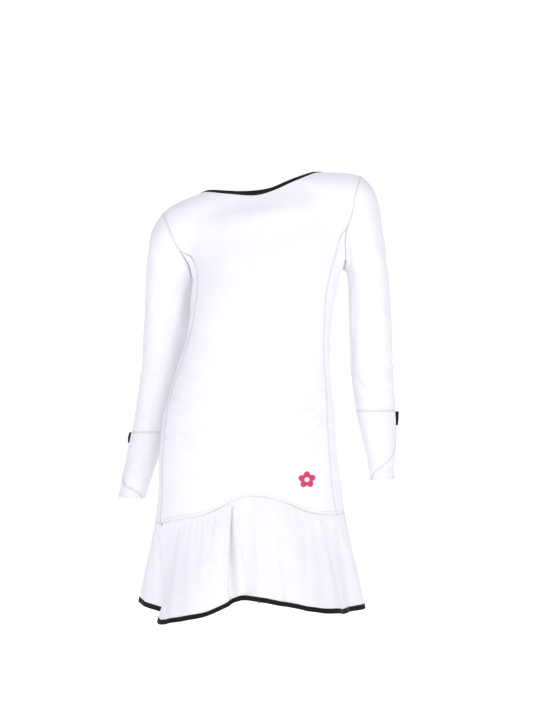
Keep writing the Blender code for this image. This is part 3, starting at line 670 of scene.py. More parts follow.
class Graph:
    """A material's node tree, with short calls that add nodes and join them."""

    def __init__(self, name: str) -> None:
        """Starts a material with one Principled shader.

        Args:
            name: The material's name.
        """
        self.material = bpy.data.materials.new(name)
        self.material.use_nodes = True
        self.tree = self.material.node_tree
        self.shader = self.tree.nodes["Principled BSDF"]

    @staticmethod
    def fill(node: bpy.types.Node, name: str, value: object) -> None:
        """Sets one input of a node.

        Args:
            node: The node.
            name: The input's name in small letters, with _ for each space.
            value: What the input is set to.
        """
        wanted = name.replace("_", " ")
        socket = next(s for s in node.inputs if s.name.lower() == wanted)
        socket.default_value = value

    def add(self, kind: str, **values: object) -> bpy.types.Node:
        """Adds a node.

        Args:
            kind: The node's type.
            values: What its settings or, where it has none of that name, its inputs are set to.

        Returns:
            The node.
        """
        node = self.tree.nodes.new(kind)
        for name, value in values.items():
            if hasattr(node, name):
                setattr(node, name, value)
            else:
                self.fill(node, name, value)
        return node

    def join(self, source: bpy.types.NodeSocket, target: bpy.types.NodeSocket) -> None:
        """Joins an output to an input."""
        self.tree.links.new(source, target)

    def set(self, **values: object) -> None:
        """Sets the shader's own sockets."""
        for name, value in values.items():
            self.fill(self.shader, name, value)

    def grain(self) -> bpy.types.NodeSocket:
        """The piece's own UV map, which follows the cloth."""
        return self.add("ShaderNodeUVMap", uv_map="grain").outputs["UV"]

    def place(self) -> bpy.types.NodeSocket:
        """The object's own coordinates."""
        return self.add("ShaderNodeTexCoord").outputs["Object"]

    def bands(self, way: str, spacing: float) -> bpy.types.Node:
        """Soft bands across an axis, a spacing in metres apart."""
        return self.add("ShaderNodeTexWave", bands_direction=way, scale=2 * math.pi / WAVE_RATE / spacing)

    def spots(self, scale: float, detail: float) -> bpy.types.Node:
        """Uneven spots, by how many fit in a metre and how finely they are broken."""
        return self.add("ShaderNodeTexNoise", scale=scale, detail=detail)

    def lay(self, source: bpy.types.NodeSocket, *textures: bpy.types.Node) -> None:
        """Lays textures on a source of coordinates."""
        for texture in textures:
            self.join(source, texture.inputs["Vector"])

    def colour(self, texture: bpy.types.Node, *stops: tuple) -> None:
        """Colours the shader by a texture.

        Args:
            texture: What the colour follows, from 0 to 1.
            stops: A place and a colour for each stop.
        """
        node = self.add("ShaderNodeValToRGB")
        ends = node.color_ramp.elements
        for k, (place, colour) in enumerate(stops):
            stop = ends[k] if k < 2 else ends.new(place)
            stop.position = place
            stop.color = (*colour, 1.0)
        self.join(texture.outputs["Fac"], node.inputs["Fac"])
        self.join(node.outputs["Color"], self.shader.inputs["Base Color"])

    def relief(self, *layers: tuple[bpy.types.Node, tuple[float, float]]) -> None:
        """Raises the surface by textures, each lying on the one before.

        Args:
            layers: A texture for each, with its strength, up to 1, and its full height in metres.
        """
        below = None
        for texture, (strength, height) in layers:
            node = self.add("ShaderNodeBump", strength=strength, distance=height)
            self.join(texture.outputs["Fac"], node.inputs["Height"])
            if below is not None:
                self.join(below, node.inputs["Normal"])
            below = node.outputs["Normal"]
        self.join(below, self.shader.inputs["Normal"])


@dataclass(frozen=True)
class JerseyFinish:
    """Smooth white jersey with fine upright wales and a soft nap."""

    name: str = "jersey_knit"
    light: tuple[float, float, float] = (0.925, 0.92, 0.935)
    shade: tuple[float, float, float] = (0.90, 0.895, 0.915)
    clouds: tuple[float, float] = (26.0, 4.0)
    spread: tuple[float, float] = (0.35, 0.68)
    wale: float = 1.3 * MM
    wale_relief: tuple[float, float] = (0.30, 0.12 * MM)
    course: float = 1.0 * MM
    course_relief: tuple[float, float] = (0.16, 0.08 * MM)
    nap: tuple[float, float] = (1400.0, 3.0)
    nap_relief: tuple[float, float] = (0.35, 0.10 * MM)
    roughness: float = 0.82
    sheen: float = 0.22
    sheen_roughness: float = 0.45
    gloss: float = 0.25

    def build(self) -> bpy.types.Material:
        """Makes the material, laid by the cloth's own grain.

        Returns:
            The material.
        """
        graph = Graph(self.name)
        wales, courses = graph.bands("X", self.wale), graph.bands("Y", self.course)
        fuzz, cloud = graph.spots(*self.nap), graph.spots(*self.clouds)
        graph.lay(graph.grain(), wales, courses, fuzz, cloud)
        graph.colour(cloud, *zip(self.spread, (self.shade, self.light)))
        graph.relief((wales, self.wale_relief), (courses, self.course_relief), (fuzz, self.nap_relief))
        graph.set(roughness=self.roughness, metallic=0.0, sheen_weight=self.sheen,
                  sheen_roughness=self.sheen_roughness, specular_ior_level=self.gloss)
        return graph.material


@dataclass(frozen=True)
class TapeFinish:
    """Near-black elastic tape with fine ribs across it."""

    name: str = "ribbed_tape"
    light: tuple[float, float, float] = (0.013, 0.005, 0.008)
    shade: tuple[float, float, float] = (0.006, 0.002, 0.004)
    wear: tuple[float, float] = (55.0, 5.0)
    spread: tuple[float, float] = (0.32, 0.72)
    rib: float = 1.5 * MM
    rib_relief: tuple[float, float] = (0.45, 0.18 * MM)
    nap: tuple[float, float] = (1600.0, 2.0)
    nap_relief: tuple[float, float] = (0.30, 0.10 * MM)
    roughness: float = 0.66
    sheen: float = 0.03
    sheen_roughness: float = 0.5
    gloss: float = 0.2

    def build(self) -> bpy.types.Material:
        """Makes the material, with ribs across the tape's own run.

        Returns:
            The material.
        """
        graph = Graph(self.name)
        ribs = graph.bands("X", self.rib)
        worn, fuzz = graph.spots(*self.wear), graph.spots(*self.nap)
        graph.lay(graph.grain(), ribs, worn, fuzz)
        graph.colour(worn, *zip(self.spread, (self.shade, self.light)))
        graph.relief((ribs, self.rib_relief), (fuzz, self.nap_relief))
        graph.set(roughness=self.roughness, metallic=0.0, sheen_weight=self.sheen,
                  sheen_roughness=self.sheen_roughness, specular_ior_level=self.gloss)
        return graph.material


@dataclass(frozen=True)
class ThreadFinish:
    """Spun thread, a little lighter and darker along its run."""

    name: str
    light: tuple[float, float, float]
    shade: tuple[float, float, float]
    twist: tuple[float, float] = (420.0, 2.0)
    spread: tuple[float, float] = (0.36, 0.66)
    twist_relief: tuple[float, float] = (0.3, 0.1 * MM)
    roughness: float = 0.6
    gloss: float = 0.35

    def build(self) -> bpy.types.Material:
        """Makes the material, on the object's own coordinates.

        Returns:
            The material.
        """
        graph = Graph(self.name)
        twist = graph.spots(*self.twist)
        graph.lay(graph.place(), twist)
        graph.colour(twist, *zip(self.spread, (self.shade, self.light)))
        graph.relief((twist, self.twist_relief))
        graph.set(roughness=self.roughness, metallic=0.0, specular_ior_level=self.gloss)
        return graph.material


@dataclass(frozen=True)
class FloorFinish:
    """A plain pale floor, lit a little from below."""

    name: str = "pale_floor"
    glow: float = 0.52
    light: tuple[float, float, float] = (0.97, 0.97, 0.98)
    shade: tuple[float, float, float] = (0.94, 0.94, 0.96)
    clouds: tuple[float, float] = (1.2, 2.0)
    spread: tuple[float, float] = (0.3, 0.7)
    roughness: float = 0.9
    gloss: float = 0.1

    def build(self) -> bpy.types.Material:
        """Makes the material, barely clouded.

        Returns:
            The material.
        """
        graph = Graph(self.name)
        cloud = graph.spots(*self.clouds)
        graph.lay(graph.place(), cloud)
        graph.colour(cloud, *zip(self.spread, (self.shade, self.light)))
        graph.set(roughness=self.roughness, metallic=0.0, specular_ior_level=self.gloss,
                  emission_color=(1.0, 1.0, 1.0, 1.0), emission_strength=self.glow)
        return graph.material


@dataclass
class EdgeLine:
    """A stretch of a panel's edge: its points, outward directions and the ways into the panel."""

    points: np.ndarray
    normals: np.ndarray
    inward: np.ndarray
    closed: bool

    def spaced(self, step: float) -> tuple[np.ndarray, np.ndarray, np.ndarray, np.ndarray]:
        """The line again at even steps.

        Args:
            step: The distance between points, in metres.

        Returns:
            Points, outward directions, inward directions and directions along the line.
        """
        parts = [self.points, self.normals, self.inward]
        if self.closed:
            parts = [np.concatenate([part, part[:1]]) for part in parts]
        run = np.linalg.norm(np.diff(parts[0], axis=0), axis=1)
        along = np.concatenate([[0], np.cumsum(run)])
        marks = np.linspace(0, along[-1], max(2, round(along[-1] / step)), endpoint=not self.closed)
        laid = [np.stack([np.interp(marks, along, p[:, k]) for k in range(3)], axis=-1) for p in parts]
        ahead = np.gradient(laid[0], axis=0)
        return laid[0], unit(laid[1]), unit(laid[2]), unit(ahead)


@dataclass
class JerseyPanel:
    """One cut piece of white jersey, smoothed, creased and given its thickness."""

    node: str
    middle: Middle
    flat: tuple[float, float]
    area: float
    held: str
    level: int = 2
    shapes: list[Crease | Ripple] = field(default_factory=list)
    piece: bpy.types.Object = field(init=False)
    smooth: np.ndarray = field(init=False)
    shift: np.ndarray = field(init=False)
    loops: list[EdgeLine] = field(init=False, default_factory=list)

    def cut(self) -> list[Vector]:
        """Takes the panel from its solid's outer face, and returns its corners."""
        self.piece = copied_node(self.node, "jersey_" + self.node)
        return keep_outer_sheet(self.piece)

    def build(self, corners: KDTree) -> None:
        """Smooths the panel with its corners held, and presses its creases in.

        Args:
            corners: The corners of all the panels.
        """
        hold_corners(self.piece, corners)
        apply_modifier(self.piece, "SUBSURF", levels=self.level, render_levels=self.level,
                       boundary_smooth="ALL", uv_smooth="NONE")
        points, normals = points_of(self.piece), normals_of(self.piece)
        out = sum(shape.depth_at(points, normals) for shape in self.shapes)
        self.smooth, self.shift = points, normals * out[:, None]
        dip = normals * SEAM_DIP * self.on_edge(len(points))[:, None]
        move_points(self.piece, points + self.shift - dip)
        self.read_edges()

    def on_edge(self, count: int) -> np.ndarray:
        """Marks the points on the panel's open edges.

        Args:
            count: How many points the panel has.

        Returns:
            One for each point on an edge, and nought inside the panel.
        """
        pairs = [pair for face in self.piece.data.polygons for pair in face.edge_keys]
        keys, uses = np.unique(pairs, axis=0, return_counts=True)
        marks = np.zeros(count)
        marks[keys[uses == 1].ravel()] = 1
        return marks

    def read_edges(self) -> None:
        """Keeps each open edge as an ordered line, for the seams."""
        mesh = bmesh.new()
        mesh.from_mesh(self.piece.data)
        following = {}
        for edge in mesh.edges:
            if edge.is_boundary:
                corner = edge.link_loops[0]
                following[corner.vert.index] = corner.link_loop_next.vert.index
        mesh.free()
        points, normals = points_of(self.piece), normals_of(self.piece)
        while following:
            start, at = following.popitem()
            order = [start]
            while at != start:
                order.append(at)
                at = following.pop(at)
            line, out = points[order], normals[order]
            ahead = unit(np.roll(line, -1, axis=0) - np.roll(line, 1, axis=0))
            self.loops.append(EdgeLine(line, out, unit(np.cross(out, ahead)), True))

    def shared_edges(self, others: list["JerseyPanel"], apart: bool = False) -> list[EdgeLine]:
        """The stretches of this panel's edges that run beside other panels.

        Args:
            others: The panels on the other side of the seam.
            apart: True for the stretches that run beside none of them.

        Returns:
            The stretches, in order round the edge.
        """
        ends = [loop.spaced(SEAM_STEP)[0] for other in others for loop in other.loops]
        tree = indexed(np.concatenate(ends))
        found = []
        for loop in self.loops:
            near = np.array([(tree.find(p)[2] < SEAM_REACH) != apart for p in loop.points])
            if near.all():
                found.append(loop)
                continue
            starts = np.flatnonzero(near & ~np.roll(near, 1))
            for start in starts:
                order = [start]
                while near[(order[-1] + 1) % len(near)]:
                    order.append((order[-1] + 1) % len(near))
                if len(order) > SEAM_SHORTEST:
                    parts = (part[order] for part in (loop.points, loop.normals, loop.inward))
                    found.append(EdgeLine(*parts, False))
        return found

    def finish(self, finish: bpy.types.Material) -> None:
        """Gives the panel its thickness, grain and finish, in its solid's place.

        Args:
            finish: The jersey's material.
        """
        apply_modifier(self.piece, "SOLIDIFY", thickness=SHELL, offset=-1.0, use_rim=True)
        stand_in(self.piece, self.node, self.middle, finish)


def dress_piece(piece: bpy.types.Object, finish: bpy.types.Material) -> None:
    """Shades a finished piece, gives it its material and lets it ride on the dress.

    Args:
        piece: The finished mesh.
        finish: Its material.
    """
    piece.data.materials.clear()
    piece.data.materials.append(finish)
    select_only(piece)
    bpy.ops.object.shade_smooth_by_angle(angle=SHARP_TURN)
    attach(piece, ROOT)
    LOG.info("%s: %d faces", piece.name, len(piece.data.polygons))


def stand_in(piece: bpy.types.Object, node: str, middle: Middle, finish: bpy.types.Material) -> None:
    """Gives a piece its grain and finish, and puts it in its solid's place.

    Args:
        piece: The finished mesh.
        node: The solid's name in the frame.
        middle: The middle of the tube of cloth that it lies on.
        finish: Its material.
    """
    middle.lay_grain(piece)
    dress_piece(piece, finish)
    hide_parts(node)


@dataclass
class Jersey:
    """All the white panels of the dress."""

    body_girth: float = 0.90
    arm_girth: float = 0.26
    torso: Middle = field(init=False)
    arms: dict[str, Middle] = field(init=False)
    panels: dict[str, JerseyPanel] = field(init=False, default_factory=dict)

    def __post_init__(self) -> None:
        """Reads the middle lines of the body and the arms."""
        body = ("front_panel", "back_panel", "flounce_front", "flounce_back")
        self.torso = Middle(body, self.body_girth)
        arm = ("sleeve", "forearm_front", "forearm_back")
        self.arms = {
            side: Middle(tuple(f"{name}_{side}" for name in arm), self.arm_girth)
            for side in ("left", "right")
        }

    def build(self) -> None:
        """Grows every panel from its solid."""
        lie = Ripple()
        body = [lie, *BODY_CREASES]
        self.add("front_panel", self.torso, (0.42, 0.66), 0.213, "stretched", body, 3)
        self.add("back_panel", self.torso, (0.42, 0.66), 0.213, "stretched", body)
        for side, sleeve, forearm in (
            ("left", LEFT_SLEEVE_CREASES, LEFT_FOREARM_CREASES),
            ("right", RIGHT_SLEEVE_CREASES, RIGHT_FOREARM_CREASES),
        ):
            arm = self.arms[side]
            self.add("side_panel_" + side, self.torso, (0.13, 0.56), 0.050, "stretched", body)
            self.add("sleeve_" + side, arm, (0.33, 0.48), 0.107, "stretched", [lie, *sleeve], 3)
            self.add("forearm_front_" + side, arm, (0.15, 0.14), 0.0147, "stretched", [lie, *forearm])
            self.add("forearm_back_" + side, arm, (0.14, 0.14), 0.0126, "stretched", [lie, *forearm])
        hung = [lie, *FLOUNCE_FOLDS, *FLOUNCE_GATHERS]
        self.add("flounce_front", self.torso, (0.74, 0.22), 0.115, "gathered", hung, 3)
        self.add("flounce_back", self.torso, (0.70, 0.22), 0.112, "gathered", hung, 3)
        corners = indexed([corner for panel in self.panels.values() for corner in panel.cut()])
        for panel in self.panels.values():
            panel.build(corners)

    def add(self, node: str, middle: Middle, flat: tuple[float, float], area: float, held: str,
            shapes: list[Crease | Ripple], level: int = 2) -> None:
        """Keeps one panel by its node's name."""
        self.panels[node] = JerseyPanel(node, middle, flat, area, held, level, shapes)

    def some(self, *nodes: str) -> list[JerseyPanel]:
        """The panels with these names."""
        return [self.panels[node] for node in nodes]

    def surface(self) -> BVHTree:
        """The tree of every panel's outer face, for what lies on the cloth."""
        return tree_of([panel.piece for panel in self.panels.values()])

    def finish(self) -> None:
        """Gives every panel its thickness and its finish."""
        jersey = JerseyFinish().build()
        for panel in self.panels.values():
            panel.finish(jersey)


def tree_of(pieces: list[bpy.types.Object]) -> BVHTree:
    """Makes one search tree of all the faces of some pieces.

    Args:
        pieces: The meshes.

    Returns:
        The tree.
    """
    corners, faces = [], []
    for piece in pieces:
        first = len(corners)
        corners += [v.co.copy() for v in piece.data.vertices]
        faces += [[first + i for i in p.vertices] for p in piece.data.polygons]
    return BVHTree.FromPolygons(corners, faces)


def stitch_shape(length: float, thick: float) -> tuple[np.ndarray, list[tuple[int, ...]]]:
    """One stitch lying along X, a slim bead with pinched ends.

    Args:
        length: Its length in metres.
        thick: Its thickness in metres.

    Returns:
        Its points and its faces, in the same order on every run.
    """
    bpy.ops.object.select_all(action="DESELECT")
    bpy.ops.mesh.primitive_uv_sphere_add(segments=BEAD_SIDES, ring_count=BEAD_RINGS, radius=0.5)
    bead = bpy.context.object
    with editing(bead):
        bpy.ops.transform.rotate(value=math.pi / 2, orient_axis="Y", center_override=(0, 0, 0))
        bpy.ops.transform.resize(value=(length, thick * BEAD_SPREAD, thick))
    points = points_of(bead)
    rounds = [tuple(p.vertices) for p in bead.data.polygons]
    bpy.data.objects.remove(bead, do_unlink=True)
    return points, sorted(min(turn[k:] + turn[:k] for k in range(len(turn))) for turn in rounds)


@dataclass
class Sewing:
    """The seams of the dress: rows of stitches outside and a narrow tape inside."""

    jersey: Jersey
    surface: BVHTree
    hem: bpy.types.Object
    neck: bpy.types.Object
    twin_rows: tuple[float, float] = (1.3 * MM, -1.3 * MM)
    waist_rows: tuple[float, float] = (-1.6 * MM, -6.4 * MM)
    cuff_row: tuple[float] = (7.0 * MM,)
    tape_row: tuple[float] = (-1.7 * MM,)
    pitch: float = 3.4 * MM
    length: float = 2.7 * MM
    thick: float = 0.55 * MM
    stand_off: float = 1.2 * MM
    tape_half: float = 3.5 * MM
    tape_thick: float = 0.5 * MM
    tape_step: float = 4.0 * MM
    tape_gap: float = 0.15 * MM
    pieces: dict[str, list[bpy.types.Object]] = field(init=False, default_factory=dict)

    def build(self) -> None:
        """Sews every seam of the dress."""
        grey = ThreadFinish(*Thread.GREY.value).build()
        pale = ThreadFinish(*Thread.PALE.value).build()
        tape = JerseyFinish(name="seam_tape_knit").build()
        some, both = self.jersey.some, self.twin_rows
        body = some("front_panel", "back_panel", "side_panel_left", "side_panel_right")
        front, back, left, right = body
        flounces = some("flounce_front", "flounce_back")
        princess = front.shared_edges([left, right]) + back.shared_edges([left, right])
        self.sew("princess", princess, both, grey, tape)
        self.sew("shoulder", front.shared_edges([back]), both, pale, tape)
        waist = flounces[0].shared_edges(body) + flounces[1].shared_edges(body)
        self.sew("waist", waist, self.waist_rows, grey, tape)
        self.sew("flounce_side", flounces[0].shared_edges([flounces[1]]), (), pale, tape)
        for side in ("left", "right"):
            sleeve, petal, under = some("sleeve_" + side, "forearm_front_" + side, "forearm_back_" + side)
            self.sew("armhole_" + side, sleeve.shared_edges(body), both, grey, tape)
            self.sew("cross_" + side, sleeve.shared_edges([petal, under]), both, grey, tape)
            self.sew("petal_" + side, petal.shared_edges([under]), both, grey, tape)
            cuff = petal.shared_edges([sleeve, under], True) + under.shared_edges([sleeve, petal], True)
            self.sew("cuff_" + side, cuff, self.cuff_row, pale, None)
        dark = ThreadFinish(*Thread.TAPE.value).build()
        edge = flounces[0].shared_edges([flounces[1], *body], True)
        edge += flounces[1].shared_edges([flounces[0], *body], True)
        self.sew("hem_tape", edge, self.tape_row, dark, None, self.hem)
        near = [*body[2:], *some("sleeve_left", "sleeve_right", "flounce_front", "flounce_back")]
        edge = front.shared_edges([back, *near], True) + back.shared_edges([front, *near], True)
        self.sew("neck_tape", edge, self.tape_row, dark, None, self.neck)

    def sew(self, name: str, lines: list[EdgeLine], rows: tuple[float, ...], thread: bpy.types.Material,
            tape: bpy.types.Material | None, onto: bpy.types.Object | None = None) -> None:
        """Makes one seam's stitches and its inner tape.

        Args:
            name: The seam's name.
            lines: The edges that it joins.
            rows: How far into the panel each row of stitches runs.
            thread: The stitches' finish.
            tape: The inner tape's finish, or None for a seam with none.
            onto: What the stitches lie on, where it isn't the jersey.
        """
        made = []
        if rows:
            surface = self.surface if onto is None else tree_of([onto])
            made.append(self.stitches("stitches_" + name, lines, rows, thread, surface))
        if tape is not None:
            made.append(self.tape("seam_tape_" + name, lines, tape))
        self.pieces[name] = made
        LOG.info("seam %s: %d stretches", name, len(lines))

    def stitches(self, name: str, lines: list[EdgeLine], rows: tuple[float, ...],
                 thread: bpy.types.Material, surface: BVHTree) -> bpy.types.Object:
        """Rows of stitches as one mesh.

        Args:
            name: The mesh's name.
            lines: The edges that they follow.
            rows: How far into the panel each row runs.
            thread: Their finish.
            surface: What they lie on.

        Returns:
            The mesh.
        """
        shape, faces = stitch_shape(self.length, self.thick)
        points, all_faces = [], []
        for line in lines:
            places, outs, inward, ahead = line.spaced(self.pitch)
            for offset in rows:
                seen = places + inward * offset + outs * self.stand_off
                for place, way in zip(seen, ahead):
                    found, normal, _, _ = surface.find_nearest(Vector(place))
                    at, out = np.array(found), np.array(normal)
                    way = unit(way - out * (way @ out))
                    side = np.cross(out, way)
                    first = len(points) * len(shape)
                    lift = out * self.thick * BEAD_BED
                    points.append(at + lift + shape @ np.stack([way, side, out]))
                    all_faces += [tuple(first + i for i in face) for face in faces]
        return joined_mesh(name, np.concatenate(points), all_faces, thread)

    def tape(self, name: str, lines: list[EdgeLine], finish: bpy.types.Material) -> bpy.types.Object:
        """A narrow tape inside the cloth along the seam, which closes it.

        Args:
            name: The tape's name.
            lines: The edges that it runs along.
            finish: Its finish.

        Returns:
            The tape.
        """
        points, faces = [], []
        for line in lines:
            places, out, inward, _ = line.spaced(self.tape_step)
            under = places - out * (SHELL + self.tape_gap)
            low = under - out * self.tape_thick
            reach = inward * self.tape_half
            section = np.stack([under - reach, under + reach, low + reach, low - reach], axis=1)
            first = sum(len(p) for p in points)
            count = len(places)
            points.append(section.reshape(-1, 3))
            for i in range(count if line.closed else count - 1):
                a, b = first + 4 * i, first + 4 * ((i + 1) % count)
                faces += [(a + k, a + (k + 1) % 4, b + (k + 1) % 4, b + k) for k in range(4)]
            if not line.closed:
                last = first + 4 * (count - 1)
                faces += [(first + 3, first + 2, first + 1, first), (last, last + 1, last + 2, last + 3)]
        piece = joined_mesh(name, np.concatenate(points), faces, finish)
        with editing(piece):
            bpy.ops.mesh.normals_make_consistent(inside=False)
        self.jersey.torso.lay_grain(piece)
        return piece


def joined_mesh(name: str, points: np.ndarray, faces: list[tuple[int, ...]],
                finish: bpy.types.Material) -> bpy.types.Object:
    """Makes a piece from points and faces, dressed and riding on the dress.

    Args:
        name: The piece's name.
        points: Its points, one to a row.
        faces: The points round each face.
        finish: Its material.

    Returns:
        The piece.
    """
    mesh = bpy.data.meshes.new(name)
    mesh.from_pydata([tuple(p) for p in points], [], faces)
    piece = bpy.data.objects.new(name, mesh)
    bpy.context.scene.collection.objects.link(piece)
    dress_piece(piece, finish)
    return piece


def rounded_node(node: str, name: str, round_by: float, levels: int) -> bpy.types.Object:
    """Copies a strip's solid with its long edges rounded and its run smoothed.

    Args:
        node: The solid's name in the frame.
        name: The new piece's name.
        round_by: How far in from each edge the rounding starts.
        levels: How many times its faces are split to smooth it.

    Returns:
        The copy, with no material.
    """
    piece = copied_node(node, name)
    apply_modifier(piece, "BEVEL", width=round_by, segments=2, limit_method="ANGLE",
                   angle_limit=EDGE_TURN)
    apply_modifier(piece, "SUBSURF", levels=levels, render_levels=levels)
    return piece


@dataclass
class Binding:
    """A tape folded over an edge, rounded from its solid."""

    node: str
    middle: Middle
    panels: list[JerseyPanel]
    round_by: float = 0.75 * MM
    level: int = 2
    neighbours: int = 4
    piece: bpy.types.Object = field(init=False)

    def follow(self) -> None:
        """Moves the tape with the creases of the cloth that it edges."""
        smooth = np.concatenate([panel.smooth for panel in self.panels])
        shift = np.concatenate([panel.shift for panel in self.panels])
        tree = indexed(smooth)
        points = points_of(self.piece)
        near = [[k for _, k, _ in tree.find_n(point, self.neighbours)] for point in points]
        move_points(self.piece, points + shift[near].mean(axis=1))

    def build(self, finish: bpy.types.Material) -> bpy.types.Object:
        """Rounds the tape and lays it along the creased cloth.

        Args:
            finish: The tape's material.

        Returns:
            The tape.
        """
        self.piece = rounded_node(self.node, "tape_" + self.node, self.round_by, self.level)
        self.follow()
        stand_in(self.piece, self.node, self.middle, finish)
        return self.piece


@dataclass
class Tab:
    """A small folded strip of tape sewn on below the cross seam, narrower at its lower end."""

    node: str
    middle: Middle
    reach: tuple[float, float, float]
    round_by: float = 0.25 * MM
    level: int = 1
    sunk: float = 1.7 * MM
    ends: float = 0.1

    def draw_in(self, piece: bpy.types.Object) -> None:
        """Narrows the strip from top to bottom, and seats its inner edge on the sleeve.

        Args:
            piece: The strip.
        """
        points = points_of(piece)
        side = np.sign(points[0, 0])
        out = points[:, 0] * side
        drop = (points[:, 2].max() - points[:, 2]) / np.ptp(points[:, 2])
        top, bottom = out[drop < self.ends].min(), out[drop > 1 - self.ends].min()
        inner = np.interp(drop, (0, 1), (top, bottom))
        share = np.interp(drop, (0, 0.5, 1), self.reach)
        points[:, 0] = side * (inner - self.sunk + (out - inner) * share)
        move_points(piece, points)

    def build(self, finish: bpy.types.Material) -> bpy.types.Object:
        """Softens the folded strip's edges and draws it in.

        Args:
            finish: The tape's material.

        Returns:
            The tab.
        """
        piece = rounded_node(self.node, "folded_" + self.node, self.round_by, self.level)
        self.draw_in(piece)
        stand_in(piece, self.node, self.middle, finish)
        return piece


@dataclass
class Tack:
    """A few stitches crossed over each other where a row of sewing ends."""

    name: str
    near: tuple[float, float, float]
    surface: BVHTree
    length: float = 6.0 * MM
    thick: float = 0.9 * MM
    strands: int = 4
    fan: float = 0.35
    apart: float = 0.8
    bed: float = 0.3

    def build(self, thread: bpy.types.Material) -> bpy.types.Object:
        """Lays the strands side by side, each turned a little from the last.

        Args:
            thread: The strands' finish.

        Returns:
            The tack.
        """
        shape, faces = stitch_shape(self.length, self.thick)
        at, normal, _, _ = self.surface.find_nearest(Vector(self.near))
        at, out = np.array(at), np.array(normal)
        up = unit(np.array([0, 0, 1.0]) - out * out[2])
        side = np.cross(out, up)
        points, all_faces = [], []
        for k in range(self.strands):
            place = k - (self.strands - 1) / 2
            way = unit(up + side * (self.fan * place))
            across = np.cross(out, way)
            shift = side * place * self.thick * self.apart + out * self.thick * self.bed
            points.append(at + shift + shape @ np.stack([way, across, out]))
            all_faces += [tuple(k * len(shape) + i for i in face) for face in faces]
        return joined_mesh(self.name, np.concatenate(points), all_faces, thread)


@dataclass
class Blossom:
    """A small five-petal blossom stitched on the front of the skirt."""

    surface: BVHTree
    centre: tuple[float, float] = (95 * MM, -573 * MM)
    petals: int = 5
    petal_size: tuple[float, float] = (7.6 * MM, 6.2 * MM)
    petal_reach: float = 8.4 * MM
    eye: float = 4.6 * MM
    thick: float = 0.5 * MM
    petal_rise: float = 0.1 * MM
    eye_rise: float = 0.5 * MM
    sides: int = 30
    cuts: int = 3

    def disc(self, name: str, size: tuple[float, float], reach: float, turn: float,
             rise: float) -> bpy.types.Object:
        """One filled oval on the cloth.

        Args:
            name: The object's name.
            size: Half its length and half its breadth.
            reach: How far its middle is from the blossom's.
            turn: The way it points, in radians from straight up.
            rise: How far it stands off the cloth.

        Returns:
            The oval, laid on the cloth.
        """
        bpy.ops.object.select_all(action="DESELECT")
        bpy.ops.mesh.primitive_circle_add(vertices=self.sides, radius=1.0, fill_type="TRIFAN")
        oval = bpy.context.object
        oval.name = name
        with editing(oval):
            bpy.ops.mesh.subdivide(number_cuts=self.cuts)
        flat = points_of(oval)
        away = np.hypot(flat[:, 0], flat[:, 1])
        along, across = flat[:, 1] * size[0] + reach, flat[:, 0] * size[1]
        right = across * math.cos(turn) + along * math.sin(turn)
        up = along * math.cos(turn) - across * math.sin(turn)
        laid = []
        for x, z, edge in zip(self.centre[0] + right, self.centre[1] + up, away):
            hit, normal, _, _ = self.surface.ray_cast(Vector((x, -1, z)), Vector((0, 1, 0)))
            crown = math.sqrt(max(0.0, 1 - edge * edge))
            laid.append(np.array(hit) + np.array(normal) * (rise + self.thick * crown))
        move_points(oval, np.array(laid))
        return oval

    def build(self) -> bpy.types.Object:
        """Stitches the petals round their eye, in two threads.

        Returns:
            The blossom as one piece.
        """
        pink = ThreadFinish(*Thread.PINK.value).build()
        white = ThreadFinish(*Thread.WHITE.value).build()
        parts = []
        for k in range(self.petals):
            turn = 2 * math.pi * k / self.petals
            part = self.disc(f"petal_{k}", self.petal_size, self.petal_reach, turn, self.petal_rise)
            part.data.materials.append(pink)
            parts.append(part)
        eye = self.disc("eye", (self.eye, self.eye), 0.0, 0.0, self.eye_rise)
        eye.data.materials.append(white)
        bpy.ops.object.select_all(action="DESELECT")
        for part in (*parts, eye):
            part.select_set(True)
        bpy.context.view_layer.objects.active = parts[0]
        bpy.ops.object.join()
        piece = parts[0]
        piece.name = "stitched_blossom"
        select_only(piece)
        bpy.ops.object.shade_smooth()
        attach(piece, ROOT)
        LOG.info("%s: %d faces", piece.name, len(piece.data.polygons))
        return piece


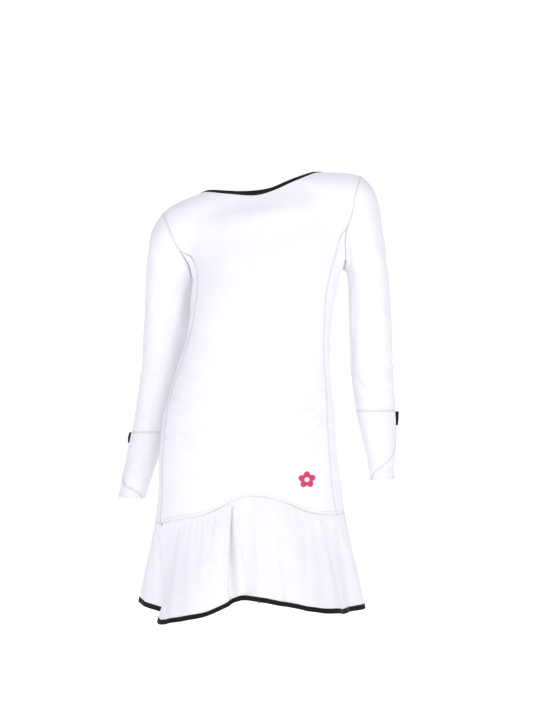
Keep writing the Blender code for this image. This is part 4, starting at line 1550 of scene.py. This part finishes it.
@dataclass
class Studio:
    """The floor, the soft lights and the camera."""

    floor_height: float = -1.18
    floor_size: float = 6.0
    distance: float = 3.2
    turn: float = math.radians(5.0)
    aim: tuple[float, float, float] = (0.01165, 0.0, -0.33728)
    scale: float = 515.0
    picture: tuple[int, int] = (533, 710)
    sensor: float = 36.0
    air: tuple[float, float, float, float] = (0.92, 0.91, 1.0, 1.0)
    air_strength: float = 0.49
    backdrop: tuple[float, float, float, float] = (1.0, 1.0, 1.0, 1.0)
    backdrop_strength: float = 1.05

    def build(self) -> None:
        """Sets up all that the dress is seen with."""
        self.add_floor()
        self.add_world()
        self.add_light("key", (1.5, -2.6, 1.3), 2.2, 48.0, (1.0, 0.995, 1.0))
        self.add_light("fill", (-2.3, -2.3, 0.8), 2.6, 24.0, (0.96, 0.95, 1.0))
        self.add_light("back", (-0.6, 2.8, 0.9), 2.4, 26.0, (0.97, 0.96, 1.0))
        self.add_camera()

    def add_floor(self) -> None:
        """A wide pale floor, well below the hem."""
        bpy.ops.object.select_all(action="DESELECT")
        bpy.ops.mesh.primitive_plane_add(size=self.floor_size, location=(0, 0, self.floor_height))
        floor = bpy.context.object
        floor.name = "floor"
        floor.data.materials.append(FloorFinish().build())

    def add_world(self) -> None:
        """White to the eye, and a soft lavender light on the cloth."""
        world = bpy.data.worlds.new("studio_air")
        bpy.context.scene.world = world
        world.use_nodes = True
        nodes, links = world.node_tree.nodes, world.node_tree.links
        soft = nodes["Background"]
        soft.inputs["Color"].default_value = self.air
        soft.inputs["Strength"].default_value = self.air_strength
        seen = nodes.new("ShaderNodeBackground")
        seen.inputs["Color"].default_value = self.backdrop
        seen.inputs["Strength"].default_value = self.backdrop_strength
        path = nodes.new("ShaderNodeLightPath")
        mixed = nodes.new("ShaderNodeMixShader")
        links.new(path.outputs["Is Camera Ray"], mixed.inputs["Fac"])
        links.new(soft.outputs["Background"], mixed.inputs[1])
        links.new(seen.outputs["Background"], mixed.inputs[2])
        links.new(mixed.outputs["Shader"], nodes["World Output"].inputs["Surface"])

    def add_light(self, name: str, place: tuple[float, float, float], size: float, power: float,
                  colour: tuple[float, float, float]) -> None:
        """One square soft light that faces the dress.

        Args:
            name: The light's name.
            place: Where it stands.
            size: Its side in metres.
            power: Its power in watts.
            colour: Its colour.
        """
        lamp = bpy.data.lights.new(name, "AREA")
        lamp.size = size
        lamp.energy = power
        lamp.color = colour
        stand = bpy.data.objects.new(name, lamp)
        stand.location = place
        stand.rotation_euler = (Vector(self.aim) - Vector(place)).to_track_quat("-Z", "Y").to_euler()
        bpy.context.scene.collection.objects.link(stand)

    def add_camera(self) -> None:
        """The camera at the photograph's own angle and scale."""
        lens = bpy.data.cameras.new("camera")
        lens.sensor_fit = "VERTICAL"
        lens.sensor_height = self.sensor
        lens.sensor_width = self.sensor
        lens.lens = self.sensor * self.distance * self.scale / self.picture[1]
        eye = bpy.data.objects.new("camera", lens)
        back = Vector((math.sin(self.turn), -math.cos(self.turn), 0.0))
        eye.location = Vector(self.aim) + back * self.distance
        eye.rotation_euler = (-back).to_track_quat("-Z", "Y").to_euler()
        bpy.context.scene.collection.objects.link(eye)
        bpy.context.scene.camera = eye
        bpy.context.scene.view_settings.view_transform = "Standard"


def main() -> None:
    """Builds the dress's looks in order."""
    logging.basicConfig(level=logging.INFO, format="%(name)s %(message)s")
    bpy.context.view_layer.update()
    Studio().build()
    jersey = Jersey()
    jersey.build()
    surface = jersey.surface()
    tape = TapeFinish().build()
    dark = ThreadFinish(*Thread.DARK.value).build()
    grey = ThreadFinish(*Thread.KNOT.value).build()
    hem = Binding("hem_binding", jersey.torso, jersey.some("flounce_front", "flounce_back")).build(tape)
    neck = Binding("neck_binding", jersey.torso, jersey.some("front_panel", "back_panel")).build(tape)
    sewing = Sewing(jersey, surface, hem, neck)
    sewing.build()
    jersey.finish()
    tabs = {
        side: Tab("sleeve_tab_" + side, jersey.arms[side], reach).build(tape)
        for side, reach in TAB_REACH.items()
    }
    tacks = {
        side: Tack("tack_" + side, place, surface).build(dark) for side, place in CUFF_TACKS.items()
    }
    knot = Tack("seam_knot", SEAM_KNOT, surface, length=7 * MM, thick=0.7 * MM).build(grey)
    blossom = Blossom(surface).build()
    join = Tack("hem_join", HEM_JOIN, tree_of([hem]), thick=0.8 * MM, strands=5, fan=0.0).build(dark)


if __name__ == "__main__":
    main()
